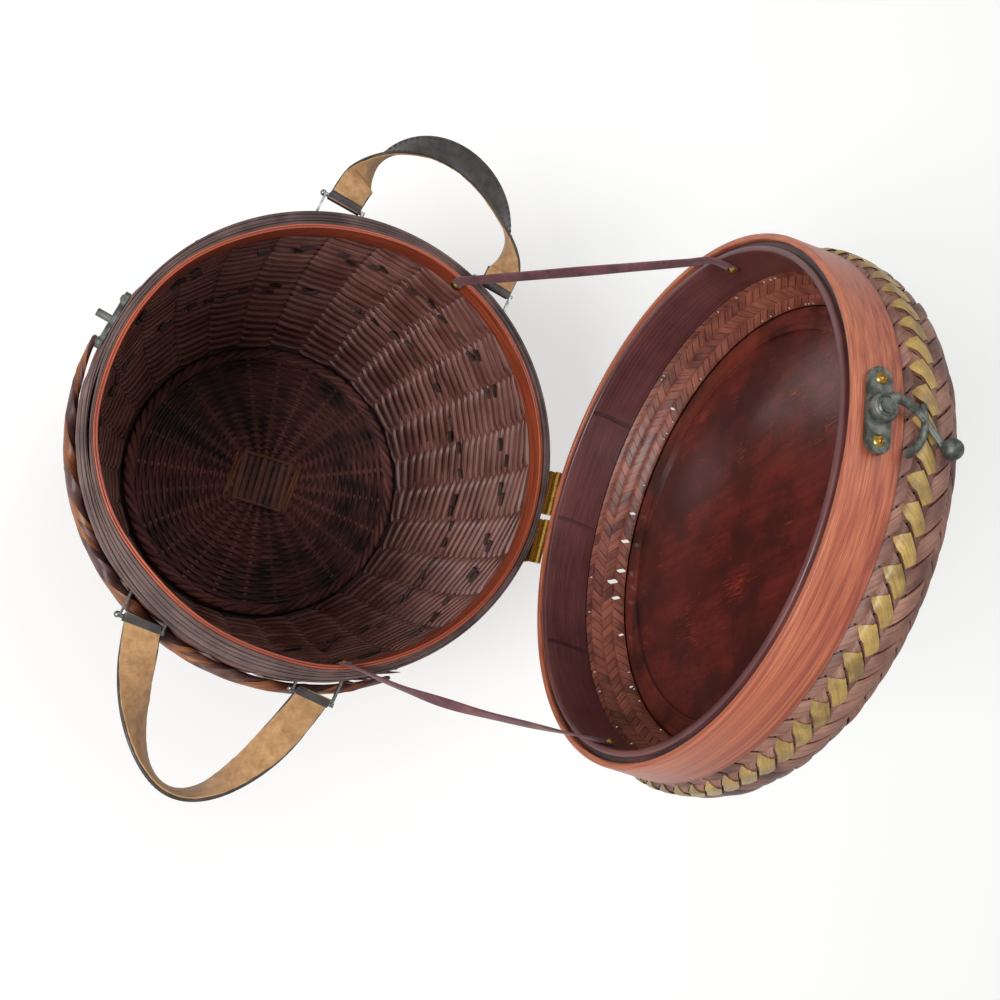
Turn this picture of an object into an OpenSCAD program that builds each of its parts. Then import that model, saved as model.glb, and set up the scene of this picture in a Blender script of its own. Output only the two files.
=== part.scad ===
// Round wicker basket with a domed, twill-woven lid on two butt hinges, two
// leather loop handles, two lid stays and a swing latch.
// Millimetres, +Z up, origin on the floor at the centre of the foot ring.
// The hinges are at +Y, the latch is near -Y, the handles are near +X and -X.
// The lid is drawn closed and turned about the hinge line to its rest angle.

/* [Basket] */
// Width over the rim hoops
rim_d = 250; // [245:0.5:255]
// Height from the floor to the rim
basket_h = 234; // [224:1:244]
// How far the wall's middle line stands inside the rim's edge at its widest
belly_inset = 0.2; // [0:0.1:0.6]
// Depth of the widest place below the rim
belly_drop = 60; // [50:1:70]
// Width over the foot ring
foot_d = 204; // [200:1:208]

/* [Basket weave] */
// Thickness of the wall rods
wall_rod_d = 4.8; // [4.7:0.05:5]
// How far a rod swings in front of and behind the stakes
wall_swing = 0.9; // [0.5:0.1:1]
// Number of rod rows up the wall
wall_rows = 46; // [44:1:48]
// Number of stakes round the wall
wall_stakes = 28; // [24:2:30]
// Thickness of the base rods
base_rod_d = 3.6; // [3.5:0.05:3.8]
// Number of rod rows across the base
base_rows = 19; // [18:1:20]
// Number of spokes in the base
base_spokes = 24; // [20:2:28]
// Thickness of the rods of the border below the rim
border_rod_d = 6; // [5:0.5:6.5]

/* [Lid] */
// How far the lid's bamboo band stands out past the rim
lid_overhang = 2.5; // [2:0.25:3.5]
// Height of the bamboo band
band_h = 23.5; // [22:0.5:24]
// Height of the lid from its edge to the top panel
lid_h = 60; // [59:0.5:62]
// How far the lacquered panels' edge lies inside the lid's edge
panel_inset = 29.5; // [28.5:0.5:32]
// Number of strips in each direction of the twill
lid_strips = 68; // [60:4:72]
// Thickness of a strip
strip_t = 0.7; // [0.5:0.1:0.8]
// Angle the lid stands open at rest
open_deg = 92; // [88:1:95]

/* [Latch and hinges] */
// Direction of the latch and its keeper
latch_dir = -102; // [-105:0.5:-101]
// Length of the latch plate
latch_plate_l = 36; // [34:1:38]
// Thickness of the keeper's post
post_d = 4.2; // [4:0.1:4.4]
// Width of one butt hinge
hinge_w = 25; // [22:1:26]
// Radial clearance of the hinge pins, the latch rivet and the handle pins
pin_clearance = 0.06; // [0.04:0.01:0.08]

/* [Leather] */
// Width of a handle strap
strap_w = 19; // [17:0.5:20]
// Thickness of the outer leather
strap_t = 1.5; // [1.2:0.1:1.8]
// Width of a lid stay
stay_w = 6; // [5:0.5:7]
// Thickness of a lid stay
stay_t = 1.2; // [1:0.1:1.5]

/* [Hidden] */
$fn = 48;

touch = 0.05;                // gap left between pieces that rest on each other
rim_r = rim_d / 2;
foot_r = foot_d / 2;
lid_r = rim_r + lid_overhang;
panel_r = lid_r - panel_inset;

// basket heights
foot_h = 5;
hoop_h = 16;
wall_top = basket_h - hoop_h - touch;
wall_bottom = foot_h + touch;
belly_z = basket_h - belly_drop;
belly_r = rim_r - belly_inset;
wall_foot_r = foot_r - 3.6;
wall_bulge = belly_r - wall_foot_r;
wall_arc_r = (pow(belly_z - wall_bottom, 2) + wall_bulge * wall_bulge) / (2 * wall_bulge);

// rim hoops
inner_hoop_t = 2.4;
outer_hoop_t = 2.4;
inner_hoop_r = rim_r - 7.4;
inner_hoop_proud = 0.8;
side_hoop_from = -92;
side_hoop_to = 22;
side_hoop_t = 3;
side_hoop_low = 7.7;
side_hoop_h = 6.5;
middle_hoop_r = inner_hoop_r + inner_hoop_t + touch;
outer_hoop_r = rim_r - outer_hoop_t;
border_drop = 33;
border_gap = 0.2;
border_from = -97;
border_to = 34;

// base
base_z = foot_h + touch + base_rod_d / 2 + base_swing();
base_edge_r = wall_foot_r - wall_rod_d / 2 - wall_swing - 0.4;
slath_gap = 0.4;
slath_rods = 8;
slath_rod_d = 4.6;
lash_rod_d = 3;
slath_disc_t = 3;
slath_rise = 0.9;
slath_half = slath_rods * slath_rod_d / 2;
base_inner_r = slath_half * sqrt(2) + slath_gap;

// lid heights, measured from the closed lid's edge
lid_seat = 0.9;
band_t = 3.2;
band_flare = 1.2;
lid_inner_hoop_r = rim_r - 6.4;
lid_inner_hoop_t = 3.2;
lid_inner_hoop_h = 26;
shell_past = 2.5;
shell_r = lid_r + shell_past;
shoulder_r = 20;
shoulder_h = 38;
backing_t = 1;
weave_swing = 0.8;
lining_swing = 0.4;
lining_panel_h = 44;
panel_t = 3;
lath_w = 12;
lath_t = 2;

// hinge line and hinge sizes
hinge_x = 4;
hinge_gap = 3;
knuckle_r = 1.9;
pin_r = 0.9;
leaf_t = 0.9;
leaf_h = 10;
leaf_top = 1.5;
web_gap = 0.1;
screw_below = 7.4;
screw_above = 7.7;
hinge_flat = 1.2;
hinge_y = lid_r - hinge_flat + touch + knuckle_r;
hinge_z = basket_h + lid_seat - 0.5;

// latch and keeper
keeper_l = 33;
keeper_w = 8;
keeper_t = 2.6;
keeper_drop = 0.4 + keeper_w / 2;
latch_h = 9.8;
latch_plate_w = 11;
latch_plate_t = 2.4;
latch_back = lid_r + band_flare * (latch_h + latch_plate_w / 2) / band_h + touch;
boss_r = 5.8;
rivet_r = 2;
arm_t = 2.2;
arm_w = 3.8;
arm_lift = latch_plate_t + 1.5;
arm_base = latch_back + arm_lift;
post_reach = latch_h + lid_seat + keeper_drop;
hook_r = post_reach + post_d / 2 + 0.15 + arm_w / 2;
ball_r = 4.3;

// handles
handle_dir = -9;
handle_pin_r = 1.2;
eye_r = 2.2;
knob_r = 1.8;
pin_out = rim_r + 0.6;
pin_drop = 13;
pin_past = 3;
post_t = 1.2;
post_h = 3.2;
post_gap = 1.2;
handle_half = 48;
handle_droop = 3;
lining_t = 1;
strap_steps = 16;
strap_tail = 3;
strap_gap = 0.1;
strap_lift = eye_r + strap_t + 3 * strap_gap;
right_loop = [[-strap_tail, -handle_half], [88, -24], [102, 24], [-strap_tail, handle_half]];
left_loop = [[-strap_tail, -handle_half], [64, -60], [97, 44], [-strap_tail, handle_half]];
strap_flat = 1 / strap_steps;
strap_fall = 0.2;
right_twist = 90;
left_twist = 130;

// stays: where the tacks sit on the basket and on the closed lid
tack_r = 3;
tack_h = 1.6;
tack_depth = 8;
lid_tack_h = 9;
upper_basket_dir = 157.8;
upper_lid_dir = 179;
lower_basket_dir = 19;
lower_lid_dir = 8;
lower_stay_sag = 22;
stay_steps = 12;

// Colours of the preview
bamboo_red = "#b5532f";
bamboo_dark = "#4a3733";
rod_brown = "#6a3a34";
strip_brown = "#7d5349";
lacquer_red = "#5a2320";
gold = "#b8963c";
brass = "#b8923f";
bronze = "#5a5e52";
leather_black = "#3a3634";
suede_tan = "#b08258";
stay_plum = "#5a3438";
steel = "#8c8f90";

function base_swing() = 0.7;
function wall_r(z) = belly_r - wall_arc_r + sqrt(pow(wall_arc_r, 2) - pow(z - belly_z, 2));
function polar(r, a, z) = [r * cos(a), r * sin(a), z];

// Turn the closed lid about the hinge line to the rest angle.
module open_lid() {
    translate([0, hinge_y, hinge_z]) rotate([-open_deg, 0, 0])
        translate([0, -hinge_y, -hinge_z]) children();
}

// Height of the closed lid's edge above the floor.
module on_rim() {
    translate([0, 0, basket_h + lid_seat]) children();
}

// A hoop of bamboo: inner radius, thickness, bottom and top.
module hoop(r, t, z0, z1) {
    rotate_extrude($fn = 180) translate([r, z0]) square([t, z1 - z0]);
}

// A ring of short sloping rods that lie over each other like a rope border.
module rope_border(r, z, rod_d, count, rod_l, slope) {
    for (i = [0:count - 1])
        rotate([0, 0, 360 * i / count]) translate([r, 0, z])
            rotate([90 + slope, 0, 0]) cylinder(d = rod_d, h = rod_l, center = true, $fn = 20);
}

// One side of a ribbon between two sections. The inner and the outer side are cut along
// the same diagonal, so layers that lie on each other stay parallel where they twist.
function ribbon_side(i, k) =
    let (a = 4 * i, b = 4 * i + 4, n = (k + 1) % 4)
    k == 3 ? [a + n, b + n, b + k, a + k] : [a + k, a + n, b + n, b + k];

// Solid ribbon through four-cornered sections.
module ribbon(sections) {
    last = len(sections) - 1;
    points = [for (s = sections) each s];
    sides = [for (i = [0:last - 1]) for (k = [0:3]) ribbon_side(i, k)];
    halves = [for (f = sides) each [[f[0], f[1], f[2]], [f[0], f[2], f[3]]]];
    ends = [[2, 1, 0], [3, 2, 0],
        [4 * last, 4 * last + 1, 4 * last + 2], [4 * last, 4 * last + 2, 4 * last + 3]];
    polyhedron(points = points, faces = concat(halves, ends), convexity = 8);
}

// Basket: foot and base

module foot_ring() {
    color(bamboo_dark) hoop(foot_r - 11, 10, 0, foot_h);
}

foot_rods = 30;
foot_rod_l = 30;
foot_rod_slope = 10;
module foot_border() {
    rod_rise = foot_rod_l / 2 * sin(foot_rod_slope);
    color(rod_brown) rope_border(foot_r + border_rod_d / 2 + border_gap,
        border_rod_d / 2 + rod_rise + 1, border_rod_d, foot_rods, foot_rod_l, foot_rod_slope);
}

// Rods lie side by side along a line; each shows a flat back on both sides of it.
rod_corners = [-36, 36];
function reversed(list) = [for (i = [len(list) - 1:-1:0]) list[i]];
function rod_corner(c, d, a) = [c[0] + d / 2 * cos(a), c[1] + d / 2 * sin(a)];

// Flat rows of base rods, each row above or below the base's middle by the swing.
function base_rod(i, first) =
    [base_inner_r + base_rod_d / 2
        + i * (base_edge_r - base_inner_r - base_rod_d) / (base_rows - 1),
     base_z + ((i + first) % 2 == 0 ? base_swing() : -base_swing())];

module base_profile(first) {
    rows = [for (i = [0:base_rows - 1]) base_rod(i, first)];
    top = [for (c = rows) for (a = rod_corners) rod_corner(c, base_rod_d, 90 - a)];
    bottom = [for (c = rows) for (a = rod_corners) rod_corner(c, base_rod_d, 270 + a)];
    polygon(concat(top, reversed(bottom)));
}

// Every second wedge between the spokes.
module base_wedges(first) {
    step = 360 / base_spokes;
    for (i = [first:2:base_spokes - 1])
        rotate([0, 0, i * step]) rotate_extrude(angle = step, $fn = 96) base_profile(first);
}

module base_weave_over() {
    color(rod_brown) base_wedges(0);
}

module base_weave_under() {
    color(rod_brown) base_wedges(1);
}

// Square bundle of eight rods lashed across at both ends.
module base_slath() {
    lash = slath_half - lash_rod_d;
    color(rod_brown) {
        translate([0, 0, base_z - slath_disc_t / 2])
            cylinder(r = base_inner_r - 2 * touch, h = slath_disc_t);
        for (i = [0:slath_rods - 1]) {
            across = (i - (slath_rods - 1) / 2) * slath_rod_d;
            translate([0, across, base_z + slath_rise]) rotate([0, 90, 0])
                cylinder(d = slath_rod_d, h = 2 * slath_half, center = true, $fn = 16);
        }
        for (side = [-1, 1])
            translate([side * lash, 0, base_z + slath_rise + slath_rod_d / 2])
                rotate([90, 0, 0])
                    cylinder(d = lash_rod_d, h = 2 * slath_half - 2, center = true, $fn = 16);
    }
}

// Twisted ring where the base meets the wall, inside.
upset_rod_d = 3.4;
upset_rods = 32;
upset_rod_l = 22;
upset_slope = 7;
module upset_border() {
    rod_rise = upset_rod_l / 2 * sin(upset_slope);
    ring_z = base_z + base_swing() + base_rod_d / 2 + upset_rod_d / 2 + rod_rise + 0.3;
    color(bamboo_dark) rope_border(base_edge_r - upset_rod_d - 2.2, ring_z, upset_rod_d,
        upset_rods, upset_rod_l, upset_slope);
}

// Basket: wall

// Stack of wall rods along the belly's arc; each row leans in or out by the swing.
function wall_rod(i, first) =
    let (z = wall_bottom + wall_rod_d / 2
        + i * (wall_top - wall_bottom - wall_rod_d) / (wall_rows - 1))
    [wall_r(z) + ((i + first) % 2 == 0 ? wall_swing : -wall_swing), z];

module wall_profile(first) {
    rows = [for (i = [0:wall_rows - 1]) wall_rod(i, first)];
    outside = [for (c = rows) for (a = rod_corners) rod_corner(c, wall_rod_d, a)];
    inside = [for (c = rows) for (a = rod_corners) rod_corner(c, wall_rod_d, 180 - a)];
    polygon(concat(outside, reversed(inside)));
}

// Every second column between the stakes.
module wall_columns(first) {
    step = 360 / wall_stakes;
    for (i = [first:2:wall_stakes - 1])
        rotate([0, 0, i * step]) rotate_extrude(angle = step, $fn = 112) wall_profile(first);
}

module wall_weave_inner() {
    color(rod_brown) wall_columns(0);
}

module wall_weave_outer() {
    color(rod_brown) wall_columns(1);
}

// Long rods twisted round the latch side of the basket; the twist thins out at both ends.
module border_row(count, thick, below_rim, rod_l, slope) {
    row_z = basket_h - below_rim;
    wall_out = wall_r(row_z) + wall_swing + wall_rod_d / 2;
    for (i = [0:count - 1])
        let (s = (i + 0.5) / count, d = thick * (0.5 + 0.5 * sin(180 * s)))
        rotate([0, 0, border_from + s * (border_to - border_from)])
            translate([wall_out + d / 2 + border_gap, 0, row_z])
                rotate([90 + slope, 0, 0]) cylinder(d = d, h = rod_l, center = true, $fn = 20);
}

module rim_border() {
    color(bamboo_red) {
        border_row(15, border_rod_d, border_drop, 44, 11);
        border_row(17, border_rod_d * 0.7, border_drop - 2 * border_rod_d, 32, -9);
    }
}

// Basket: rim

// Flats on the outer hoops that let the hinge leaves sit on a curved rim.
module hinge_flat_cut(r, z0, z1) {
    translate([hinge_x - hinge_w - hinge_gap, r - hinge_flat, z0])
        cube([2 * (hinge_w + hinge_gap), 20, z1 - z0]);
}

module rim_inner_hoop() {
    color(bamboo_red)
        hoop(inner_hoop_r, inner_hoop_t, basket_h - hoop_h + 1, basket_h + inner_hoop_proud);
}

module rim_middle_hoop() {
    color(bamboo_dark) hoop(middle_hoop_r, outer_hoop_r - middle_hoop_r - touch,
        basket_h - hoop_h, basket_h - 0.5);
}

module rim_outer_hoop() {
    color(bamboo_dark) difference() {
        hoop(outer_hoop_r, outer_hoop_t, basket_h - hoop_h, basket_h);
        hinge_flat_cut(rim_r, basket_h - leaf_h - 2, basket_h + 1);
    }
}

// Extra laminations outside the rim on the latch side.
module rim_side_hoop() {
    color(bamboo_dark) rotate([0, 0, side_hoop_from])
        rotate_extrude(angle = side_hoop_to - side_hoop_from, $fn = 180)
            translate([rim_r + touch, basket_h - side_hoop_low]) square([side_hoop_t, side_hoop_h]);
}

// Small bamboo pegs that pin the hoops together from outside.
module rim_pegs() {
    color(bamboo_dark)
        for (a = [-168, -150, -130, 32, 45, 60, 120, 135])
            rotate([0, 0, a]) translate([rim_r + touch, 0, basket_h - 6])
                rotate([0, 90, 0]) cylinder(d = 2.2, h = 0.8, $fn = 24);
}

// Keeper

module at_keeper() {
    rotate([0, 0, latch_dir]) translate([rim_r + touch, 0, basket_h - keeper_drop])
        children();
}

// Plate with rounded ends and the post that the hook closes on.
module keeper_plate() {
    post_l = arm_base + arm_t + 0.6 - rim_r - touch;
    color(bronze) at_keeper() rotate([0, 90, 0]) {
        difference() {
            union() {
                translate([-keeper_w / 2, -keeper_l / 2 + keeper_w / 2, 0])
                    cube([keeper_w, keeper_l - keeper_w, keeper_t]);
                for (side = [-1, 1]) translate([0, side * (keeper_l - keeper_w) / 2, 0])
                    cylinder(d = keeper_w, h = keeper_t);
            }
            for (side = [-1, 1]) translate([0, side * (keeper_l - keeper_w) / 2, -1])
                cylinder(r = 1.55, h = keeper_t + 2);
        }
        cylinder(d = post_d, h = post_l);
    }
}

// Round-headed screw standing on a face, head along +Z.
module round_screw(head_d, shank_d, shank_l) {
    dome_h = head_d / 4;
    dome_r = (head_d * head_d / 4 + dome_h * dome_h) / (2 * dome_h);
    difference() {
        union() {
            intersection() {
                translate([0, 0, dome_h - dome_r]) sphere(r = dome_r, $fn = 40);
                cylinder(d = head_d, h = dome_h);
            }
            translate([0, 0, -shank_l]) cylinder(d = shank_d, h = shank_l + 0.1, $fn = 24);
        }
        for (a = [0, 90]) rotate([0, 0, a])
            translate([-head_d * 0.3, -0.3, dome_h - 0.6]) cube([head_d * 0.6, 0.6, 1]);
    }
}

module keeper_screws() {
    color(bronze) at_keeper() rotate([0, 90, 0])
        for (side = [-1, 1])
            translate([0, side * (keeper_l - keeper_w) / 2, keeper_t + touch])
                round_screw(5, 3, keeper_t);
}

// Hinges

function hinge_centres() = [hinge_x - (hinge_w + hinge_gap) / 2, hinge_x + (hinge_w + hinge_gap) / 2];

// Three knuckles: the middle one belongs to the lid, the outer two to the basket.
module knuckle(x0, x1) {
    translate([x0, hinge_y, hinge_z]) rotate([0, 90, 0]) cylinder(r = knuckle_r, h = x1 - x0);
}

module pin_bore(x0, x1) {
    translate([x0, hinge_y, hinge_z]) rotate([0, 90, 0])
        cylinder(r = pin_r + pin_clearance, h = x1 - x0);
}

module basket_hinge_leaves() {
    face = rim_r - hinge_flat + touch;
    joint = 0.15;
    color(brass) for (c = hinge_centres()) difference() {
        union() {
            translate([c - hinge_w / 2, face, basket_h - leaf_top - leaf_h])
                cube([hinge_w, leaf_t, leaf_h]);
            for (x = [c - hinge_w / 2, c + hinge_w / 6 + joint]) {
                knuckle(x, x + hinge_w / 3 - joint);
                translate([x, hinge_y - leaf_t / 2, basket_h - leaf_top - leaf_t])
                    cube([hinge_w / 3 - joint, leaf_t, 0.8 + leaf_t]);
            }
            translate([c - hinge_w / 2, face, basket_h - leaf_top - leaf_t])
                cube([hinge_w, hinge_y + leaf_t / 2 - face, leaf_t - web_gap]);
        }
        pin_bore(c - hinge_w, c + hinge_w);
        for (side = [-1, 1]) translate([c + side * hinge_w / 4, face + 3, basket_h - screw_below])
            rotate([90, 0, 0]) cylinder(r = 0.95, h = 6, $fn = 24);
    }
}

module basket_hinge_screws() {
    color(brass) for (c = hinge_centres(), side = [-1, 1])
        translate([c + side * hinge_w / 4, rim_r - hinge_flat + leaf_t + 2 * touch, basket_h - screw_below])
            rotate([-90, 0, 0]) round_screw(3.4, 1.8, leaf_t);
}

module lid_hinge_leaves() {
    face = lid_r - hinge_flat + touch;
    leaf_z = basket_h + lid_seat + 1.7;
    color(brass) open_lid() for (c = hinge_centres()) difference() {
        union() {
            translate([c - hinge_w / 2, face, leaf_z]) cube([hinge_w, leaf_t, leaf_h]);
            knuckle(c - hinge_w / 6 + 0.15, c + hinge_w / 6 - 0.15);
            translate([c - hinge_w / 6 + 0.15, face, hinge_z])
                cube([hinge_w / 3 - 0.3, leaf_t, leaf_z - hinge_z + 1]);
        }
        pin_bore(c - hinge_w, c + hinge_w);
        for (side = [-1, 1])
            translate([c + side * hinge_w / 4, face + 3, basket_h + lid_seat + screw_above])
                rotate([90, 0, 0]) cylinder(r = 0.95, h = 6, $fn = 24);
    }
}

module lid_hinge_screws() {
    color(brass) open_lid() for (c = hinge_centres(), side = [-1, 1])
        translate([c + side * hinge_w / 4, lid_r - hinge_flat + leaf_t + 2 * touch,
            basket_h + lid_seat + screw_above])
            rotate([-90, 0, 0]) round_screw(3.4, 1.8, leaf_t);
}

module hinge_pins() {
    color(brass) for (c = hinge_centres())
        translate([c - hinge_w / 2, hinge_y, hinge_z]) rotate([0, 90, 0])
            cylinder(r = pin_r, h = hinge_w);
}

// Lid

module lid_band() {
    color(bamboo_red) open_lid() on_rim() difference() {
        rotate_extrude($fn = 180) polygon([[lid_r - band_t, 0], [lid_r, 0],
            [lid_r + band_flare, band_h], [lid_r + band_flare - band_t, band_h]]);
        hinge_flat_cut(lid_r, -1, leaf_h + 2.2);
    }
}

module lid_core_hoop() {
    core_r = lid_inner_hoop_r + lid_inner_hoop_t + touch;
    color(bamboo_dark) open_lid() on_rim()
        hoop(core_r, lid_r - band_t - core_r - touch, 2, band_h - 3);
}

module lid_inner_hoop() {
    color(bamboo_dark) open_lid() on_rim()
        hoop(lid_inner_hoop_r, lid_inner_hoop_t, 0, lid_inner_hoop_h);
}

// Middle line of the woven shell from the band to the top lath ring: u runs from 0 to 1.
shell_foot_h = band_h + 0.9;
shell_side_h = 30;
shell_foot_r = lid_r - 1.6;
shoulder_end = 84;
shell_side_l = shoulder_h - shell_side_h;
shell_foot_l = norm([shell_r - shell_foot_r, shell_side_h - shell_foot_h]);
shell_arc_l = shoulder_r * shoulder_end * PI / 180;
shell_l = shell_foot_l + shell_side_l + shell_arc_l;

function shell_at(u) =
    let (l = u * shell_l)
    l < shell_foot_l
        ? [shell_foot_r + (shell_r - shell_foot_r) * l / shell_foot_l,
           shell_foot_h + (shell_side_h - shell_foot_h) * l / shell_foot_l]
    : l < shell_foot_l + shell_side_l
        ? [shell_r, shell_side_h + l - shell_foot_l]
    : let (a = (l - shell_foot_l - shell_side_l) / shoulder_r * 180 / PI)
        [shell_r - shoulder_r + shoulder_r * cos(a), shoulder_h + shoulder_r * sin(a)];

function shell_out(u) =
    let (d = shell_at(min(1, u + 0.01)) - shell_at(max(0, u - 0.01)))
    [d[1], -d[0]] / norm(d);

// Continuous backing under the woven strips.
module lid_backing() {
    steps = 14;
    deep = weave_swing + strip_t / 2 + strip_sag;
    color(strip_brown) open_lid() on_rim() rotate_extrude($fn = 144) polygon(concat(
        [for (i = [0:steps]) shell_at(i / steps) - deep * shell_out(i / steps)],
        [for (i = [steps:-1:0]) shell_at(i / steps) - (deep + backing_t) * shell_out(i / steps)]));
}

// One section of a diagonal strip t thick at angle a, u along the shell, swing in or out.
function strip_section(at, out, a, half, swing, t = strip_t) =
    let (inner = at + (swing - t / 2) * out, outer = at + (swing + t / 2) * out)
    [polar(inner[0], a - half, inner[1]), polar(outer[0], a - half, outer[1]),
     polar(outer[0], a + half, outer[1]), polar(inner[0], a + half, inner[1])];

function flipped(sections) = [for (s = sections) [s[3], s[2], s[1], s[0]]];

// Diagonal strips of the 2/2 twill: each goes over two and under two of the other family.
// From the band to the top a strip meets nine others, and it bends once for every two.
strip_step = 360 / lid_strips;
strip_met = 9;
strip_fill = 0.42;
strip_sag = 1.05;
gold_t = 0.4;
gold_from = 0.58;
strip_bends = [for (k = [0:2:strip_met - 1]) k / strip_met, 1];

// Value part of the way between two entries of a list.
function blend(list, f) =
    let (i = min(floor(f), len(list) - 2)) list[i] + (f - i) * (list[i + 1] - list[i]);

// Section k along strip i; k may lie between two bends. lift moves it off the strip.
function twill_section(i, way, k, half, lift = 0, t = strip_t) =
    let (u = blend(strip_bends, k),
         swings = [for (b = [0:len(strip_bends) - 1])
             (b % 2 == 1 && strip_bends[b] < 1 ? way : -way) * weave_swing],
         at = blend([for (b = strip_bends) shell_at(b)], k))
    strip_section(at, shell_out(u), strip_step * (i + way * strip_met / 2 * (u - 0.5)), half,
        blend(swings, k) + lift, t);

module twill(way) {
    for (i = [0:lid_strips - 1])
        ribbon(flipped([for (k = [0:len(strip_bends) - 1])
            twill_section(i, way, k, strip_step * strip_fill)]));
}

module lid_strips_left() {
    color(strip_brown) open_lid() on_rim() twill(1);
}

module lid_strips_right() {
    color(strip_brown) open_lid() on_rim() twill(-1);
}

// Gilt on each strip where it first goes over two others, just above the band.
module lid_gold_strips() {
    lift = strip_t / 2 + gold_t / 2 + touch;
    color(gold) open_lid() on_rim() for (i = [0:lid_strips - 1])
        ribbon(flipped([for (k = [gold_from, 1, 2 - gold_from])
            twill_section(i, 1, k, strip_step * strip_fill * 0.86, lift, gold_t)]));
}

// Lid: inside

cone_low = [lid_inner_hoop_r + 1.2, lid_inner_hoop_h + 0.6];
cone_high = [panel_r + lath_w - 1, lining_panel_h];
cone_out = [cone_high[1] - cone_low[1], cone_low[0] - cone_high[0]]
    / norm(cone_high - cone_low);

module lining_cone() {
    low = cone_low + (lining_swing + strip_t / 2 + 0.1) * cone_out;
    high = cone_high + (lining_swing + strip_t / 2 + 0.1) * cone_out;
    color(strip_brown) open_lid() on_rim() rotate_extrude($fn = 144)
        polygon([low, high, high + backing_t * cone_out, low + backing_t * cone_out]);
}

// Wide strips in plain weave, each meeting the other family at its foot, middle and top.
lining_strips = 44;
function lining_strip(i, way) =
    let (step = 360 / lining_strips)
    [for (k = [0:2])
        strip_section(cone_low + k / 2 * (cone_high - cone_low), cone_out,
            step * (i + way * (k / 2 - 0.5)), step * 0.38,
            ((k + i) % 2 == 0 ? -way : way) * lining_swing)];

module lining_strips_left() {
    color(strip_brown) open_lid() on_rim()
        for (i = [0:lining_strips - 1]) ribbon(flipped(lining_strip(i, 1)));
}

module lining_strips_right() {
    color(strip_brown) open_lid() on_rim()
        for (i = [0:lining_strips - 1]) ribbon(flipped(lining_strip(i, -1)));
}

module inner_lath_ring() {
    color(lacquer_red) open_lid() on_rim() {
        hoop(panel_r - 1, lath_w / 2 - 0.2, lining_panel_h + 0.2, lining_panel_h + lath_t);
        hoop(panel_r - 1.3 + lath_w / 2, lath_w / 2 - 0.2, lining_panel_h + 0.6,
            lining_panel_h + lath_t);
    }
}

module inner_panel() {
    color(lacquer_red) open_lid() on_rim()
        translate([0, 0, lining_panel_h + lath_t + touch])
            cylinder(r = panel_r + 3, h = panel_t, $fn = 144);
}

module panel_spacer() {
    color(bamboo_dark) open_lid() on_rim()
        hoop(panel_r - 6, 5, lining_panel_h + lath_t + panel_t + 2 * touch,
            lid_h - panel_t - touch);
}

module outer_lath_ring() {
    color(lacquer_red) open_lid() on_rim()
        hoop(panel_r + 0.3, lath_w - 0.3, lid_h - 0.7, lid_h + lath_t - 0.7);
}

module outer_panel() {
    color(lacquer_red) open_lid() on_rim()
        translate([0, 0, lid_h - panel_t]) cylinder(r = panel_r, h = panel_t, $fn = 144);
}

// Swing latch

module at_latch() {
    open_lid() on_rim() rotate([0, 0, latch_dir]) translate([latch_back, 0, latch_h])
        rotate([0, 90, 0]) rotate([0, 0, 90]) children();
}

// In the latch frame X runs round the lid, Y runs up the lid and Z points outwards.
module latch_plate() {
    flat = latch_plate_l - latch_plate_w;
    color(bronze) at_latch() difference() {
        union() {
            translate([-flat / 2, -latch_plate_w / 2, 0])
                cube([flat, latch_plate_w, latch_plate_t]);
            for (side = [-1, 1]) translate([side * flat / 2, 0, 0])
                cylinder(d = latch_plate_w, h = latch_plate_t);
            cylinder(r = boss_r - 0.4, h = arm_lift - 0.1);
        }
        translate([0, 0, -1]) cylinder(r = rivet_r, h = 10);
        for (side = [-1, 1]) translate([side * (flat / 2 + 0.6), 0, -1])
            cylinder(r = 1.65, h = 10);
    }
}

module latch_screws() {
    flat = latch_plate_l - latch_plate_w;
    color(brass) at_latch() for (side = [-1, 1])
        translate([side * (flat / 2 + 0.6), 0, latch_plate_t + touch])
            round_screw(5.2, 3.2, latch_plate_t);
}

module latch_rivet() {
    head_z = arm_lift + arm_t + 0.1;
    color(bronze) at_latch() {
        cylinder(r = rivet_r - 0.01, h = head_z + 0.2);
        translate([0, 0, head_z]) cylinder(r = rivet_r + 1, h = 0.8);
    }
}

// Curved hook: arc round the rivet at the hook radius, neck, tail and ball.
hook_from = 32;
arm_swell = 0.3;
hook_to = 112;
module hook_arc(r, a0, a1) {
    rotate([0, 0, a0]) rotate_extrude(angle = a1 - a0, $fn = 72)
        translate([r - arm_w / 2, 0]) square([arm_w, arm_t]);
    for (a = [a0, a1]) rotate([0, 0, a]) translate([r, 0, 0])
        cylinder(d = arm_w + arm_swell, h = arm_t);
}

module arm_bar(from, to, w) {
    d = to - from;
    translate([from[0], from[1], 0]) rotate([0, 0, atan2(d[1], d[0])])
        translate([0, -w / 2, 0]) cube([norm(d), w, arm_t]);
}

ball_at = [8.3, hook_r + 11];
module latch_arm() {
    neck = [hook_r * cos(hook_to), hook_r * sin(hook_to)];
    elbow = [-6, 5.5];
    fork = [0, hook_r + 0.4];
    color(bronze) at_latch() translate([0, 0, arm_lift]) difference() {
        union() {
            cylinder(r = boss_r, h = arm_t);
            hook_arc(hook_r, hook_from, hook_to);
            arm_bar([-2.5, 1], elbow, arm_w);
            translate([elbow[0], elbow[1], 0]) cylinder(d = arm_w + arm_swell, h = arm_t);
            arm_bar(elbow, neck, arm_w);
            arm_bar(fork, ball_at, 3);
            translate([ball_at[0], ball_at[1], ball_r - 0.3]) sphere(r = ball_r);
        }
        translate([0, 0, -1]) cylinder(r = rivet_r + pin_clearance, h = 10);
    }
}

// Tacks and stays

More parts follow.
